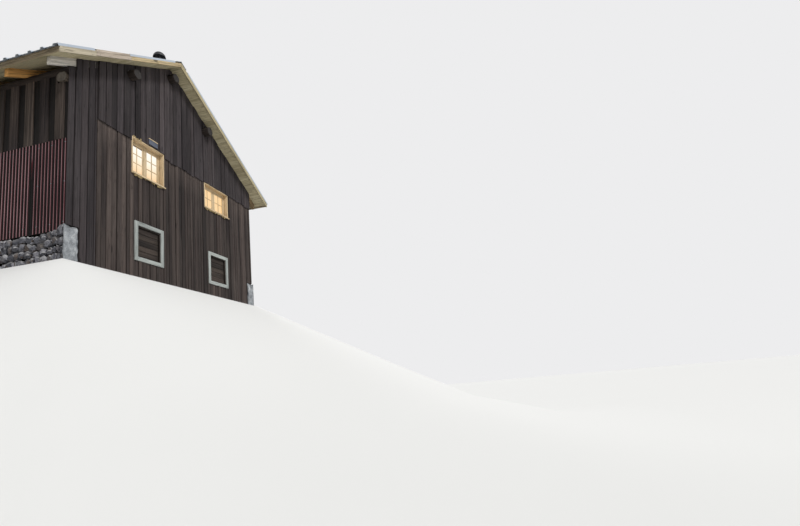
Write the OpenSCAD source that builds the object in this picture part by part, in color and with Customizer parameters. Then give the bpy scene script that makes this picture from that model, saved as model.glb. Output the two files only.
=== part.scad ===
// Timber alpine chalet: board-clad gables, a rubble plinth, red corrugated sheets on the left wall
// and a ribbed metal roof on rafters and log purlins. The windowed gable faces -Y.

/* [Walls] */
// Width of the gables over their boards
gable_w = 6270; // [4800:10:8000]
// Length of the long walls over the gable boards
wall_l = 8000; // [5600:50:12000]
// Thickness of the timber wall behind the boards
wall_t = 140; // [100:5:200]
// Thickness of one layer of boards
board_t = 26; // [18:1:32]
// Height of the soffit at the left wall face
left_eave_h = 3970; // [3400:10:4800]
// Height of the lap between the two tiers of gable boards
lap_h = 3060; // [2700:10:3100]
// Width of the boards at the left corner that run through the lap
corner_run = 650; // [200:10:1000]
// Top of the upper floor
floor_h = 1500; // [1350:10:1700]
// Thickness of the floor planks
floor_t = 45; // [30:5:60]
// Greatest distance between floor joists
joist_step = 950; // [600:10:1200]
// Width of a floor joist
joist_w = 120; // [80:5:160]
// Depth of a floor joist
joist_h = 160; // [120:5:220]

/* [Roof] */
// Pitch of both slopes in degrees
roof_pitch = 29.2; // [24:0.2:34]
// Distance of the ridge from the left wall face
ridge_from_left = 2750; // [2300:10:3200]
// Overhang past the long walls
eave_over = 500; // [380:10:700]
// Overhang past the gables
verge_over = 340; // [260:10:500]
// Width of a rafter
rafter_w = 90; // [60:5:120]
// Depth of a rafter
rafter_h = 140; // [110:5:180]
// Length of the rafter tails past the wall face
tail_over = 360; // [200:10:450]
// Greatest distance between rafters
rafter_step = 1000; // [700:10:1200]
// Thickness of the roof boards
deck_t = 26; // [18:1:32]
// Side of the battens under the metal sheets
batten_s = 60; // [30:2:80]
// Greatest distance between battens along the slope
batten_step = 620; // [400:10:900]
// Thickness of bargeboards and fascias
trim_t = 28; // [20:1:40]
// Distance that a bargeboard hangs below the soffit
barge_lip = 8; // [0:1:30]
// Distance that the lowest front bargeboard hangs below the soffit
end_lip = 24; // [0:1:40]
// Height of the repaired front bargeboard above the battens
barge_lift = 26; // [0:1:28]

/* [Roof metal] */
// Spacing of the ribs
rib_step = 280; // [200:5:350]
// Height of a rib
rib_h = 28; // [18:1:45]
// Width of a rib at its foot
rib_foot = 92; // [60:2:120]
// Width of a rib at its crest
rib_crest = 52; // [30:2:80]
// Thickness of the roof metal
metal_t = 3; // [2:0.5:5]
// Width of each side of the ridge cap
cap_w = 210; // [150:5:300]
// Thickness of the folded verge trims
verge_t = 2; // [1:0.5:4]
// Depth of a verge trim in front of the bargeboard
verge_leg = 45; // [30:5:80]

/* [Logs] */
// Radius of the purlin logs
log_r = 115; // [90:5:140]
// Depth of the flat hewn on top of a purlin for the rafters
log_flat = 20; // [10:1:30]
// Length of the ridge and middle purlins past the gable face
log_over = 190; // [100:10:250]
// Distance of the left middle purlin from the left wall face
left_purlin_at = 1500; // [1100:10:1900]
// Distance of the right middle purlin from the left wall face
right_purlin_at = 4080; // [3700:10:4500]
// Radius of the tie log in each gable
tie_r = 120; // [90:5:130]

/* [Front windows] */
// Distance of the first window from the left wall face
win1_at = 1532; // [1300:10:1700]
// Width of the first window
win1_w = 984; // [800:10:1200]
// Sill height of the first window
win1_sill = 2320; // [2100:10:2450]
// Height of the first window
win1_h = 824; // [600:10:900]
// Distance of the second window from the right wall face
win2_in = 1174; // [900:2:1400]
// Width of the second window
win2_w = 1064; // [800:10:1200]
// Sill height of the second window
win2_sill = 2385; // [2100:10:2450]
// Height of the second window
win2_h = 678; // [500:10:760]
// Thickness of the boards that line a window opening
lining_t = 26; // [18:1:32]
// Width of the fixed frame behind the lining
frame_w = 34; // [25:1:50]
// Width of the sash stiles and rails
sash_w = 46; // [35:1:60]
// Thickness of a sash
sash_t = 42; // [30:1:56]
// Depth of the sashes behind the gable face
sash_back = 100; // [60:5:120]
// Thickness of the glass
glass_t = 4; // [3:1:6]

/* [Hatches] */
// Distance of the first hatch from the left wall face
hatch1_at = 1620; // [1400:10:1800]
// Distance of the second hatch from the right wall face
hatch2_in = 1259; // [900:1:1400]
// Width of a hatch frame
hatch_w = 864; // [700:10:1000]
// Height of a hatch frame
hatch_h = 866; // [700:10:900]
// Height of the bottom of the first hatch frame
hatch1_z = 390; // [250:10:450]
// Height of the bottom of the second hatch frame
hatch2_z = 335; // [250:10:450]
// Width of the boards of a hatch frame
hatch_board = 112; // [80:2:140]
// Distance that a hatch frame stands out from the gable face
hatch_proud = 14; // [5:1:25]

/* [Door] */
// Distance of the bank door from the front gable face
door_at = 4600; // [3000:50:5000]
// Width of the door opening
door_w = 900; // [750:10:1000]
// Height of the wall left above the door
door_head = 80; // [50:5:300]
// Thickness of the door frame
door_frame_t = 50; // [35:5:70]
// Thickness of the door leaf
door_leaf_t = 40; // [30:2:50]

/* [Stonework] */
// Height of the rubble plinth
plinth_h = 600; // [450:10:640]
// Thickness of the plinth
plinth_t = 360; // [280:10:450]
// Distance that the plinth stands out from the long wall face
plinth_out = 55; // [0:5:100]
// Height of the rendered corner piers
pier_h = 686; // [640:2:800]
// Width of a corner pier on the gable
pier_w = 269; // [260:2:400]
// Distance that a pier stands out from the gable face
pier_out = 18; // [5:1:50]

/* [Red sheets] */
// Height of the top of the red sheets
red_top = 2357; // [2000:10:2600]
// Spacing of the corrugations
wave_step = 76; // [60:1:100]
// Thickness of the red sheets
red_t = 2; // [1.5:0.5:3]
// Distance of the red sheets from the corners
red_inset = 42; // [20:1:80]

/* [Long wall boards] */
// Spacing of the cover boards
cover_step = 360; // [280:5:450]
// Width of a cover board
cover_w = 205; // [150:5:260]

/* [Chimney] */
// Distance of the chimney from the front gable face
chimney_at = 640; // [560:10:760]
// Distance of the chimney right of the ridge
chimney_off = 420; // [390:10:520]
// Side of the chimney stack
stack_s = 360; // [300:10:420]
// Side of the flue
flue_s = 200; // [140:10:260]
// Height of the stack above the ridge
stack_over = 560; // [300:10:700]
// Outside diameter of the pipe on the stack
pipe_d = 180; // [160:5:200]
// Height of the pipe
pipe_h = 170; // [120:5:240]
// Diameter of the domed cap
hood_w = 310; // [280:5:360]
// Height of the domed cap
hood_h = 150; // [110:5:180]
// Thickness of the sheet of the pipe and cap
hood_t = 4; // [3:1:6]
// Height of the gap between the pipe and the cap
hood_gap = 55; // [40:5:100]

/* [Hidden] */

left_x = -gable_w / 2;
right_x = gable_w / 2;
front_y = -wall_l / 2;
back_y = wall_l / 2;
ridge_x = left_x + ridge_from_left;
rise = tan(roof_pitch);
fall = cos(roof_pitch);
ridge_h = left_eave_h + ridge_from_left * rise;

// Wall faces behind the boards
skin_t = 2 * board_t;
core_front = front_y + board_t;
core_left = left_x + skin_t;
core_right = right_x - skin_t;
inner_front = core_front + wall_t;
inner_left = core_left + wall_t;

// The eave purlins sit over the long walls, and the left one sets the level of the tie logs
purlin_drop = (rafter_h + log_r - log_flat) / fall;
eave_in = skin_t + wall_t / 2;
log_seat = 25;
left_plate_h = soffit(left_x + eave_in) - purlin_drop - log_r + log_seat;
right_plate_h = soffit(right_x - eave_in) - purlin_drop - log_r + log_seat;
tie_seat = 30;
tie_bottom = left_plate_h - 2 * tie_r + 2 * tie_seat;
tie_out = 35;
tie_gap = 2;
tie_y = core_front + tie_gap + tie_r;

// The bank door reaches from the floor to just under the plate of the right wall
door_h = right_plate_h - door_head - floor_h;

// Joint between two panels of a gable, and the distance that a cut runs past the face it opens
panel_gap = 2;
past = 1;

// Sides of a log and of the arched cap
log_sides = 48;
arch_sides = 64;

// Joints between the bargeboards, as runs from the ridge on the left slope
barge_gap = 4;
end_board = 770;
middle_board = 880;

// Layers of the roof, measured square to the slope from the soffit
deck_top = deck_t;
batten_top = deck_top + batten_s;
metal_top = batten_top + rib_h + metal_t;
left_run = ridge_from_left + eave_over;
right_run = gable_w - ridge_from_left + eave_over;
first_joint = left_run - end_board;
second_joint = first_joint - middle_board;
left_purlin_run = ridge_from_left - left_purlin_at;
right_purlin_run = right_purlin_at - ridge_from_left;
verge_front = front_y - verge_over;
verge_back = back_y + verge_over;
metal_in = trim_t + 2;

front_windows = [
    [left_x + win1_at, win1_sill, win1_w, win1_h],
    [right_x - win2_in - win2_w, win2_sill, win2_w, win2_h]
];
hatches = [
    [left_x + hatch1_at, hatch1_z],
    [right_x - hatch2_in - hatch_w, hatch2_z]
];

stone_grey = [0.42, 0.42, 0.44];
render_grey = [0.55, 0.55, 0.56];
old_board = [0.20, 0.15, 0.12];
wall_wood = [0.45, 0.33, 0.22];
log_wood = [0.26, 0.19, 0.14];
pale_wood = [0.72, 0.55, 0.36];
soffit_wood = [0.55, 0.48, 0.36];
fresh_wood = [0.85, 0.66, 0.40];
roof_metal = [0.62, 0.66, 0.72];
red_paint = [0.45, 0.12, 0.12];
pale_grey = [0.72, 0.74, 0.74];
lit_glass = [1.0, 0.82, 0.45, 0.6];
dark_metal = [0.12, 0.12, 0.13];

// Height of the soffit above the ground at a place across the building
function soffit(x) = ridge_h - abs(x - ridge_x) * rise;

// Length down a slope for a level distance from the ridge
function slope_length(run) = run / fall;

// One layer of a slope between two runs from the ridge, cut plumb at both ends
module slope_layer(side, from_run, to_run, low, high, y0, y1) {
    run = [from_run, to_run];
    level = [low / fall, high / fall];
    translate([ridge_x, y1, ridge_h])
        rotate([90, 0, 0])
            linear_extrude(y1 - y0)
                polygon([
                    [side * run[0], level[0] - run[0] * rise],
                    [side * run[0], level[1] - run[0] * rise],
                    [side * run[1], level[1] - run[1] * rise],
                    [side * run[1], level[0] - run[1] * rise]
                ]);
}

// Puts its children in a frame that runs down one slope from the ridge, with Z square to the slope
module on_slope(side) {
    translate([ridge_x, 0, ridge_h])
        mirror([side < 0 ? 1 : 0, 0, 0])
            rotate([0, roof_pitch, 0])
                children();
}

// A slab of a gable under the soffit, lowered by a depth square to the slope, with its peak where it has one
module gable_slab(x0, x1, bottom, lower, y0, y1) {
    drop = lower / fall;
    peak = x0 < ridge_x && x1 > ridge_x ? [[ridge_x, ridge_h - drop]] : [];
    translate([0, y1, 0])
        rotate([90, 0, 0])
            linear_extrude(y1 - y0)
                polygon(concat(
                    [[x0, bottom], [x0, soffit(x0) - drop]],
                    peak,
                    [[x1, soffit(x1) - drop], [x1, bottom]]
                ));
}

// Box between two corners
module block(low, high) {
    translate(low)
        cube(high - low);
}

// Repeats the front's pieces on the back gable, turned about the middle of the building
module to_back() {
    mirror([0, 1, 0])
        children();
}

// Ring of boards round an opening in a gable, from its outer corner inwards
module ring(x, z, w, h, t, y0, y1) {
    translate([x, y1, z])
        rotate([90, 0, 0])
            linear_extrude(y1 - y0)
                difference() {
                    square([w, h]);
                    translate([t, t])
                        square([w - 2 * t, h - 2 * t]);
                }
}

// Left and right edge of the bay of a gable that holds a window and the hatch below it
function bay(i) = [
    min(front_windows[i][0], hatches[i][0]),
    max(front_windows[i][0] + front_windows[i][2], hatches[i][0] + hatch_w)
];

// Panels of a bay on both sides of an opening, between two heights
module bay_sides(edges, open, z0, z1, y0, y1) {
    for (side = [[edges[0] + panel_gap, open[0]], [open[1], edges[1] - panel_gap]])
        if (side[1] - side[0] > panel_gap)
            block([side[0], y0, z0], [side[1], y1, z1]);
}

// Panels of one bay: below, beside and over its hatch and its window, with fine joints between them
module bay_panels(i, inset, lower, y0, y1) {
    edges = bay(i);
    w = front_windows[i];
    h = hatches[i];
    hatch_foot = h[1] + inset;
    hatch_head = h[1] + hatch_h - inset;
    x0 = edges[0] + panel_gap;
    x1 = edges[1] - panel_gap;
    block([x0, y0, 0], [x1, y1, hatch_foot]);
    bay_sides(edges, [h[0] + inset, h[0] + hatch_w - inset],
              hatch_foot + panel_gap, hatch_head - panel_gap, y0, y1);
    block([x0, y0, hatch_head], [x1, y1, w[1]]);
    bay_sides(edges, [w[0], w[0] + w[2]], w[1] + panel_gap, w[1] + w[3] - panel_gap, y0, y1);
    gable_slab(x0, x1, w[1] + w[3], lower, y0, y1);
}

// Layer of a gable in panels up to the slope, open at the windows and, less an inset, at the hatch frames
module gable_panels(x0, x1, inset, lower, y0, y1) {
    for (span = [[x0, bay(0)[0]], [bay(0)[1], bay(1)[0]], [bay(1)[1], x1]])
        gable_slab(span[0], span[1], 0, lower, y0, y1);
    for (i = [0, 1])
        bay_panels(i, inset, lower, y0, y1);
}

// Door opening in the right wall, cut through all its layers
module door_opening() {
    block([right_x - 2 * wall_t, front_y + door_at, floor_h],
          [right_x + wall_t, front_y + door_at + door_w, floor_h + door_h]);
}

// Round log along the building, under a slope at a level distance from the ridge
module round_log(run, side, y0, y1) {
    translate([ridge_x + side * run, y1, ridge_h - run * rise - purlin_drop])
        rotate([90, 0, 0])
            cylinder(h = y1 - y0, r = log_r, $fn = log_sides);
}

// Purlin log under one slope, with a flat for the rafters
module purlin(run, side, y0, y1) {
    difference() {
        round_log(run, side, y0, y1);
        slope_layer(side, run - 2 * log_r, run + 2 * log_r, -rafter_h, 2 * log_r, y0 - past, y1 + past);
    }
}

// Ridge log with two flats, one for the rafters of each slope
module ridge_log(y0, y1) {
    difference() {
        round_log(0, 1, y0, y1);
        for (side = [-1, 1])
            slope_layer(side, 0, 2 * log_r, -rafter_h, 2 * log_r, y0 - past, y1 + past);
    }
}

// Round notches of the ridge and middle purlins in a gable
module purlin_notches() {
    y0 = front_y - wall_t;
    y1 = inner_front + wall_t;
    round_log(0, 1, y0, y1);
    round_log(left_purlin_run, -1, y0, y1);
    round_log(right_purlin_run, 1, y0, y1);
}

// Notch of an eave purlin in a gable wall, flat below
module eave_notch(side) {
    run = side < 0 ? ridge_from_left - eave_in : gable_w - ridge_from_left - eave_in;
    plate = side < 0 ? left_plate_h : right_plate_h;
    difference() {
        round_log(run, side, front_y, inner_front + wall_t);
        block([ridge_x + side * run - 2 * log_r, front_y - past, plate - 2 * log_r],
              [ridge_x + side * run + 2 * log_r, inner_front + 2 * wall_t, plate]);
    }
}

// Square notch in the skin and core of the left wall for the tie log of the front gable
module tie_notch() {
    block([left_x - tie_r, core_front - tie_r, tie_bottom],
          [inner_left + past, tie_y + tie_r + tie_gap, 2 * ridge_h]);
}

// Eave log over a long wall, hewn flat below where it lies on the wall
module eave_log(side) {
    run = side < 0 ? ridge_from_left - eave_in : gable_w - ridge_from_left - eave_in;
    plate = side < 0 ? left_plate_h : right_plate_h;
    difference() {
        purlin(run, side, core_front, -core_front);
        block([ridge_x + side * run - 2 * log_r, front_y, plate - 2 * log_r],
              [ridge_x + side * run + 2 * log_r, back_y, plate]);
    }
}

// Tie log of the front gable, with flats above and below and its right end cut to the slope
module tie_log() {
    difference() {
        translate([left_x - tie_out, tie_y, tie_bottom + tie_r - tie_seat])
            rotate([0, 90, 0])
                cylinder(h = gable_w + tie_out, r = tie_r, $fn = log_sides);
        block([left_x - tie_r, front_y - tie_r, left_plate_h],
              [right_x + tie_r, front_y + 4 * tie_r, left_plate_h + tie_r]);
        block([left_x - tie_r, front_y - tie_r, tie_bottom - tie_r],
              [right_x + tie_r, front_y + 4 * tie_r, tie_bottom]);
        eave_notch(1);
        slope_layer(1, 0, right_run, -rafter_h, 2 * wall_l, front_y - tie_r, front_y + 4 * tie_r);
    }
}

// Timber wall of a gable below the tie log
module gable_wall_lower() {
    difference() {
        gable_panels(core_left, core_right, hatch_board, rafter_h, core_front, inner_front);
        block([core_left - past, front_y, tie_bottom],
              [core_right + past, front_y + 2 * wall_t, 2 * ridge_h]);
        for (side = [-1, 1])
            pier(side);
        eave_notch(1);
    }
}

// Timber wall of a gable above the tie log: it carries the purlins and ends where the slope meets the log
module gable_wall_upper() {
    blunt = 20;
    wall_start = left_x + eave_in + log_r / 2;
    wall_end = ridge_x + (ridge_h - rafter_h / fall - left_plate_h) / rise - blunt;
    difference() {
        gable_slab(wall_start, wall_end, left_plate_h, rafter_h, core_front, inner_front);
        eave_notch(-1);
        purlin_notches();
    }
}

// Rendered stone pier at a front corner
module pier(side) {
    wide = pier_w + plinth_out;
    x0 = side < 0 ? left_x - plinth_out : right_x - pier_w;
    block([x0, front_y - pier_out, 0], [x0 + wide, inner_front, pier_h]);
}

// Boards of a gable below the lap
module gable_boards_lower() {
    difference() {
        gable_panels(left_x, right_x, 0, 0, front_y, core_front);
        block([left_x - past, front_y - past, lap_h], [right_x + past, core_front + past, 2 * ridge_h]);
        for (side = [-1, 1])
            pier(side);
    }
}

// Boards of a gable above the lap: they stand one board proud, except at the left corner, where the boards
// run through the lap, and are notched round the purlins
module gable_boards_upper() {
    notch_w = 165;
    notch_h = 160;
    difference() {
        gable_panels(left_x, right_x, 0, 0, front_y - board_t, core_front);
        block([left_x - past, front_y - wall_t, -past], [right_x + past, core_front + past, lap_h]);
        block([left_x - past, front_y - wall_t, left_eave_h - notch_h],
              [left_x + notch_w, core_front + past, left_eave_h + 2 * notch_h]);
        block([left_x - past, front_y - wall_t, 0], [left_x + corner_run, front_y, 2 * ridge_h]);
        purlin_notches();
    }
}

module corner_piers() {
    color(render_grey)
        for (side = [-1, 1]) {
            pier(side);
            to_back()
                pier(side);
        }
}

// Rubble plinth under a long wall, between the corner piers
module plinth(side) {
    x0 = side < 0 ? left_x - plinth_out : right_x + plinth_out - plinth_t;
    block([x0, inner_front, 0], [x0 + plinth_t, -inner_front, plinth_h]);
}

module left_plinth() {
    color(stone_grey)
        plinth(-1);
}

module right_plinth() {
    color(stone_grey)
        plinth(1);
}

module front_wall() {
    color(wall_wood)
        gable_wall_lower();
}

module back_wall() {
    color(wall_wood)
        to_back()
            gable_wall_lower();
}

module left_wall() {
    color(wall_wood)
        difference() {
            block([core_left, inner_front, plinth_h], [inner_left, -inner_front, left_plate_h]);
            tie_notch();
            to_back()
                tie_notch();
        }
}

module right_wall() {
    color(wall_wood)
        difference() {
            block([core_right - wall_t, inner_front, plinth_h], [core_right, -inner_front, right_plate_h]);
            door_opening();
        }
}

module front_gable_wall() {
    color(wall_wood)
        gable_wall_upper();
}

module back_gable_wall() {
    color(wall_wood)
        to_back()
            gable_wall_upper();
}

module front_tie_log() {
    color(log_wood)
        tie_log();
}

module back_tie_log() {
    color(log_wood)
        to_back()
            tie_log();
}

// Floor joists between the long walls, evenly spaced along the building
module floor_joists() {
    clear = -2 * inner_front - joist_w;
    count = ceil(clear / joist_step);
    color(log_wood)
        for (i = [0 : count])
            translate([inner_left, inner_front + i * clear / count, floor_h - floor_t - joist_h])
                cube([-2 * inner_left, joist_w, joist_h]);
}

module upper_floor() {
    color(pale_wood)
        block([inner_left, inner_front, floor_h - floor_t], [-inner_left, -inner_front, floor_h]);
}

module front_boards_lower() {
    color(old_board)
        gable_boards_lower();
}

module front_boards_upper() {
    color(old_board)
        gable_boards_upper();
}

module back_boards_lower() {
    color(old_board)
        to_back()
            gable_boards_lower();
}

module back_boards_upper() {
    color(old_board)
        to_back()
            gable_boards_upper();
}

// First layer of boards on a long wall
module left_boards() {
    color(old_board)
        difference() {
            block([left_x + board_t, core_front, plinth_h], [core_left, -core_front, left_plate_h]);
            tie_notch();
            to_back()
                tie_notch();
            for (place = [0, 1])
                mirror([0, place, 0])
                    pier(-1);
        }
}

module right_boards() {
    color(old_board)
        difference() {
            block([core_right, core_front, plinth_h], [right_x - board_t, -core_front, right_plate_h]);
            door_opening();
            for (place = [0, 1])
                mirror([0, place, 0])
                    pier(1);
        }
}

// Cover boards of a long wall, between two heights
module cover_boards(x0, bottom, top) {
    count = floor((wall_l - skin_t - cover_w) / cover_step);
    first = -count * cover_step / 2 - cover_w / 2;
    for (i = [0 : count])
        translate([x0, first + i * cover_step, bottom])
            cube([board_t, cover_w, top - bottom]);
}

module left_cover_boards() {
    color(old_board)
        difference() {
            cover_boards(left_x, red_top, left_plate_h);
            tie_notch();
            to_back()
                tie_notch();
        }
}

module right_cover_boards() {
    color(old_board)
        difference() {
            cover_boards(right_x - board_t, pier_h, right_plate_h);
            door_opening();
        }
}

// Corrugated red sheets over the boards of the left wall
module red_sheets() {
    deep = board_t - red_t;
    steps = 6;
    phase = 30;
    run = wall_l - 2 * red_inset;
    waves = floor(run / wave_step);
    start = -waves * wave_step / 2;
    crest = [for (i = [0 : waves * steps])
        [left_x + deep / 2 * (1 - sin(360 * i / steps + phase)), start + i * wave_step / steps]];
    back = [for (i = [waves * steps : -1 : 0]) crest[i] + [red_t, 0]];
    color(red_paint)
        translate([0, 0, plinth_h])
            linear_extrude(red_top - plinth_h)
                polygon(concat(crest, back));
}

module ridge_purlin() {
    color(log_wood)
        ridge_log(front_y - log_over, back_y + log_over);
}

module middle_purlins() {
    color(log_wood) {
        purlin(left_purlin_run, -1, front_y - log_over, back_y + log_over);
        purlin(right_purlin_run, 1, front_y - log_over, back_y + log_over);
    }
}

module eave_purlins() {
    color(log_wood)
        for (side = [-1, 1])
            eave_log(side);
}

// Rafters of one slope, the first and last of them on the gable walls
module rafters(side) {
    gap = 2;
    clear = wall_l - 2 * board_t - rafter_w;
    count = ceil(clear / rafter_step);
    end_run = side < 0 ? ridge_from_left + tail_over : gable_w - ridge_from_left + tail_over;
    color(pale_wood)
        difference() {
            for (i = [0 : count]) {
                y = core_front + i * clear / count;
                slope_layer(side, gap, end_run, -rafter_h, 0, y, y + rafter_w);
            }
            if (side > 0)
                chimney_way();
        }
}

module rafters_left() {
    rafters(-1);
}

module rafters_right() {
    rafters(1);
}

// Way through the right slope for the chimney
module chimney_way() {
    clear = 8;
    half = stack_s / 2 + clear;
    block([ridge_x + chimney_off - half, front_y + chimney_at - half, floor_h],
          [ridge_x + chimney_off + half, front_y + chimney_at + half, 2 * ridge_h]);
}

module roof_boards_left() {
    color(soffit_wood)
        slope_layer(-1, 0, left_run - trim_t, 0, deck_t, verge_front + trim_t, verge_back - trim_t);
}

module roof_boards_right() {
    color(soffit_wood)
        difference() {
            slope_layer(1, 0, right_run - trim_t, 0, deck_t, verge_front + trim_t, verge_back - trim_t);
            chimney_way();
        }
}

// Battens along one slope that carry the metal sheets
module battens(side) {
    run = (side < 0 ? left_run : right_run) - trim_t - batten_s;
    ridge_clear = 60;
    count = ceil((run - ridge_clear) / (batten_step * fall));
    for (i = [0 : count]) {
        at = ridge_clear + i * (run - ridge_clear) / count;
        slope_layer(side, at, at + batten_s, deck_top, batten_top, verge_front + trim_t, verge_back - trim_t);
    }
}

module battens_left() {
    color(wall_wood)
        battens(-1);
}

module battens_right() {
    color(wall_wood)
        difference() {
            battens(1);
            chimney_way();
        }
}

// Ribbed metal of one slope: one folded profile drawn down the slope
module ribbed_metal(side) {
    start = 40;
    lip = 25;
    hair = 0.1;
    edge = verge_back - metal_in;
    span = 2 * edge - rib_crest;
    ribs = round(span / rib_step);
    step = span / ribs;
    first = rib_crest / 2 - edge;
    slant = (rib_foot - rib_crest) / 2;
    top = [for (i = [0 : ribs])
        for (p = [[-rib_foot / 2, 0], [-rib_crest / 2, rib_h], [rib_crest / 2, rib_h], [rib_foot / 2, 0]])
            if (abs(first + i * step + p[0]) <= edge + hair)
                [first + i * step + p[0], p[1]]];
    under = [for (i = [len(top) - 1 : -1 : 0]) top[i] - [0, metal_t]];
    length = slope_length(side < 0 ? left_run : right_run) + lip - start;
    on_slope(side)
        translate([start, 0, batten_top + metal_t])
            rotate([90, 0, 90])
                linear_extrude(length)
                    polygon(concat(top, under));
}

module roof_metal_left() {
    color(roof_metal)
        ribbed_metal(-1);
}

module roof_metal_right() {
    color(roof_metal)
        difference() {
            ribbed_metal(1);
            chimney_way();
        }
}

// Folded cap over the ridge, lying on the ribs of both slopes
module ridge_cap() {
    color(roof_metal)
        difference() {
            union() {
                for (side = [-1, 1])
                    slope_layer(side, 0, cap_w * fall, metal_top, metal_top + metal_t,
                                verge_front, verge_back);
            }
            chimney_way();
        }
}

// Bargeboard of one slope between two runs from the ridge
module bargeboard(side, from_run, to_run, lip, top) {
    slope_layer(side, from_run, to_run, -lip, top, verge_front, verge_front + trim_t);
}

// The front verge: three boards of different age up the left slope and one long board on the right
module front_bargeboards() {
    color(pale_wood) {
        bargeboard(-1, barge_gap, second_joint - barge_gap, barge_lip, batten_top);
        bargeboard(-1, second_joint, first_joint - barge_gap, barge_lip, batten_top + barge_lift);
        bargeboard(-1, first_joint, left_run, end_lip, batten_top);
        bargeboard(1, barge_gap, right_run, end_lip, batten_top);
    }
}

module back_bargeboards() {
    color(pale_wood)
        to_back() {
            bargeboard(-1, barge_gap, left_run, end_lip, batten_top);
            bargeboard(1, barge_gap, right_run, end_lip, batten_top);
        }
}

// Folded angle over the last rib and down over the top of a bargeboard, between two runs from the ridge
module verge_trim(side, from_run, to_run) {
    top = metal_top + verge_t;
    face = verge_front - verge_t;
    slope_layer(side, from_run, to_run, metal_top, top, face, verge_front + metal_in + rib_crest);
    slope_layer(side, from_run, to_run, metal_top - verge_leg, top, face, verge_front);
}

// The trims run from the ridge cap to the eaves, and leave out the repaired front bargeboard
module verge_trims() {
    start = cap_w * fall + barge_gap;
    color(roof_metal) {
        verge_trim(-1, start, second_joint - barge_gap);
        verge_trim(-1, first_joint, left_run);
        verge_trim(1, start, right_run);
        to_back()
            for (side = [-1, 1])
                verge_trim(side, start, side < 0 ? left_run : right_run);
    }
}

module eave_fascias() {
    lip = 12;
    color(pale_wood)
        for (side = [-1, 1]) {
            run = side < 0 ? left_run : right_run;
            slope_layer(side, run - trim_t, run, -lip, batten_top, verge_front + trim_t, verge_back - trim_t);
        }
}

// Boards that line the window openings of a gable from its face to the inside
module window_linings() {
    proud = 8;
    for (w = front_windows)
        ring(w[0], w[1], w[2], w[3], lining_t, front_y - proud, inner_front);
}

// Fixed frame of each window with its middle post, behind the lining
module window_frames() {
    y0 = front_y + sash_back;
    y1 = y0 + sash_t;
    for (w = front_windows) {
        x = w[0] + lining_t;
        z = w[1] + lining_t;
        wide = w[2] - 2 * lining_t;
        high = w[3] - 2 * lining_t;
        ring(x, z, wide, high, frame_w, y0, y1);
        block([x + wide / 2 - frame_w / 2, y0, z + frame_w],
              [x + wide / 2 + frame_w / 2, y1, z + high - frame_w]);
    }
}

// Corner and size of both sashes of a window
function sashes(w) =
    let (edge = lining_t + frame_w, wide = (w[2] - 2 * edge - frame_w) / 2)
    [for (i = [0, 1]) [w[0] + edge + i * (wide + frame_w), w[1] + edge, wide, w[3] - 2 * edge]];

module window_sashes() {
    y0 = front_y + sash_back;
    for (w = front_windows)
        for (s = sashes(w))
            ring(s[0], s[1], s[2], s[3], sash_w, y0, y0 + sash_t);
}

module window_glass() {
    y0 = front_y + sash_back + (sash_t - glass_t) / 2;
    for (w = front_windows)
        for (s = sashes(w))
            block([s[0] + sash_w, y0, s[1] + sash_w],
                  [s[0] + s[2] - sash_w, y0 + glass_t, s[1] + s[3] - sash_w]);
}

module front_window_linings() {
    color(fresh_wood)
        window_linings();
}

module front_window_frames() {
    color(fresh_wood)
        window_frames();
}

module front_window_sashes() {
    color(fresh_wood)
        window_sashes();
}

module front_window_glass() {
    color(lit_glass)
        window_glass();
}

module back_window_linings() {
    color(fresh_wood)
        to_back()
            window_linings();
}

module back_window_frames() {
    color(fresh_wood)
        to_back()
            window_frames();
}

module back_window_sashes() {
    color(fresh_wood)
        to_back()
            window_sashes();
}

module back_window_glass() {
    color(lit_glass)
        to_back()
            window_glass();
}

// Sill boards fixed to the gable face under the windows
module window_sills() {
    sill_t = 24;
    sill_out = 38;
    ear = 22;
    color(fresh_wood)
        for (place = [0, 1])
            mirror([0, place, 0])
                for (w = front_windows)
                    block([w[0] - ear, front_y - sill_out, w[1] - sill_t],
                          [w[0] + w[2] + ear, front_y, w[1]]);
}

module hatch_frames() {
    for (h = hatches)
        ring(h[0], h[1], hatch_w, hatch_h, hatch_board, front_y - hatch_proud, core_front);
}

module front_hatch_frames() {
    color(pale_grey)
        hatch_frames();
}

module back_hatch_frames() {
    color(pale_grey)
        to_back()
            hatch_frames();
}

// Board shutters that close the hatches inside the wall
module hatch_shutters() {
    color(old_board)
        for (place = [0, 1])
            mirror([0, place, 0])
                for (h = hatches)
                    block([h[0] + hatch_board, core_front + board_t, h[1] + hatch_board],
                          [h[0] + hatch_w - hatch_board, core_front + 2 * board_t,
                           h[1] + hatch_h - hatch_board]);
}

// Frame of the bank door in the right wall
module door_frame() {
    proud = 10;
    color(log_wood)
        difference() {
            block([core_right - wall_t, front_y + door_at, floor_h],
                  [right_x + proud, front_y + door_at + door_w, floor_h + door_h]);
            block([core_right - 2 * wall_t, front_y + door_at + door_frame_t, floor_h + door_frame_t],
                  [right_x + wall_t, front_y + door_at + door_w - door_frame_t,
                   floor_h + door_h - door_frame_t]);
        }
}

// Plank leaf of the bank door, closed in its frame
module door_leaf() {
    color(old_board)
        block([core_right - door_leaf_t, front_y + door_at + door_frame_t, floor_h + door_frame_t],
              [core_right, front_y + door_at + door_w - door_frame_t, floor_h + door_h - door_frame_t]);
}

// Small plain plate on the boards above the first window
module gable_plate() {
    plate_w = 270;
    plate_h = 120;
    plate_t = 12;
    along = 468;
    above = 28;
    z = max(win1_sill + win1_h, lap_h) + above;
    color(pale_grey)
        translate([front_windows[0][0] + along, front_y - board_t - plate_t, z])
            cube([plate_w, plate_t, plate_h]);
}

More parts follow.
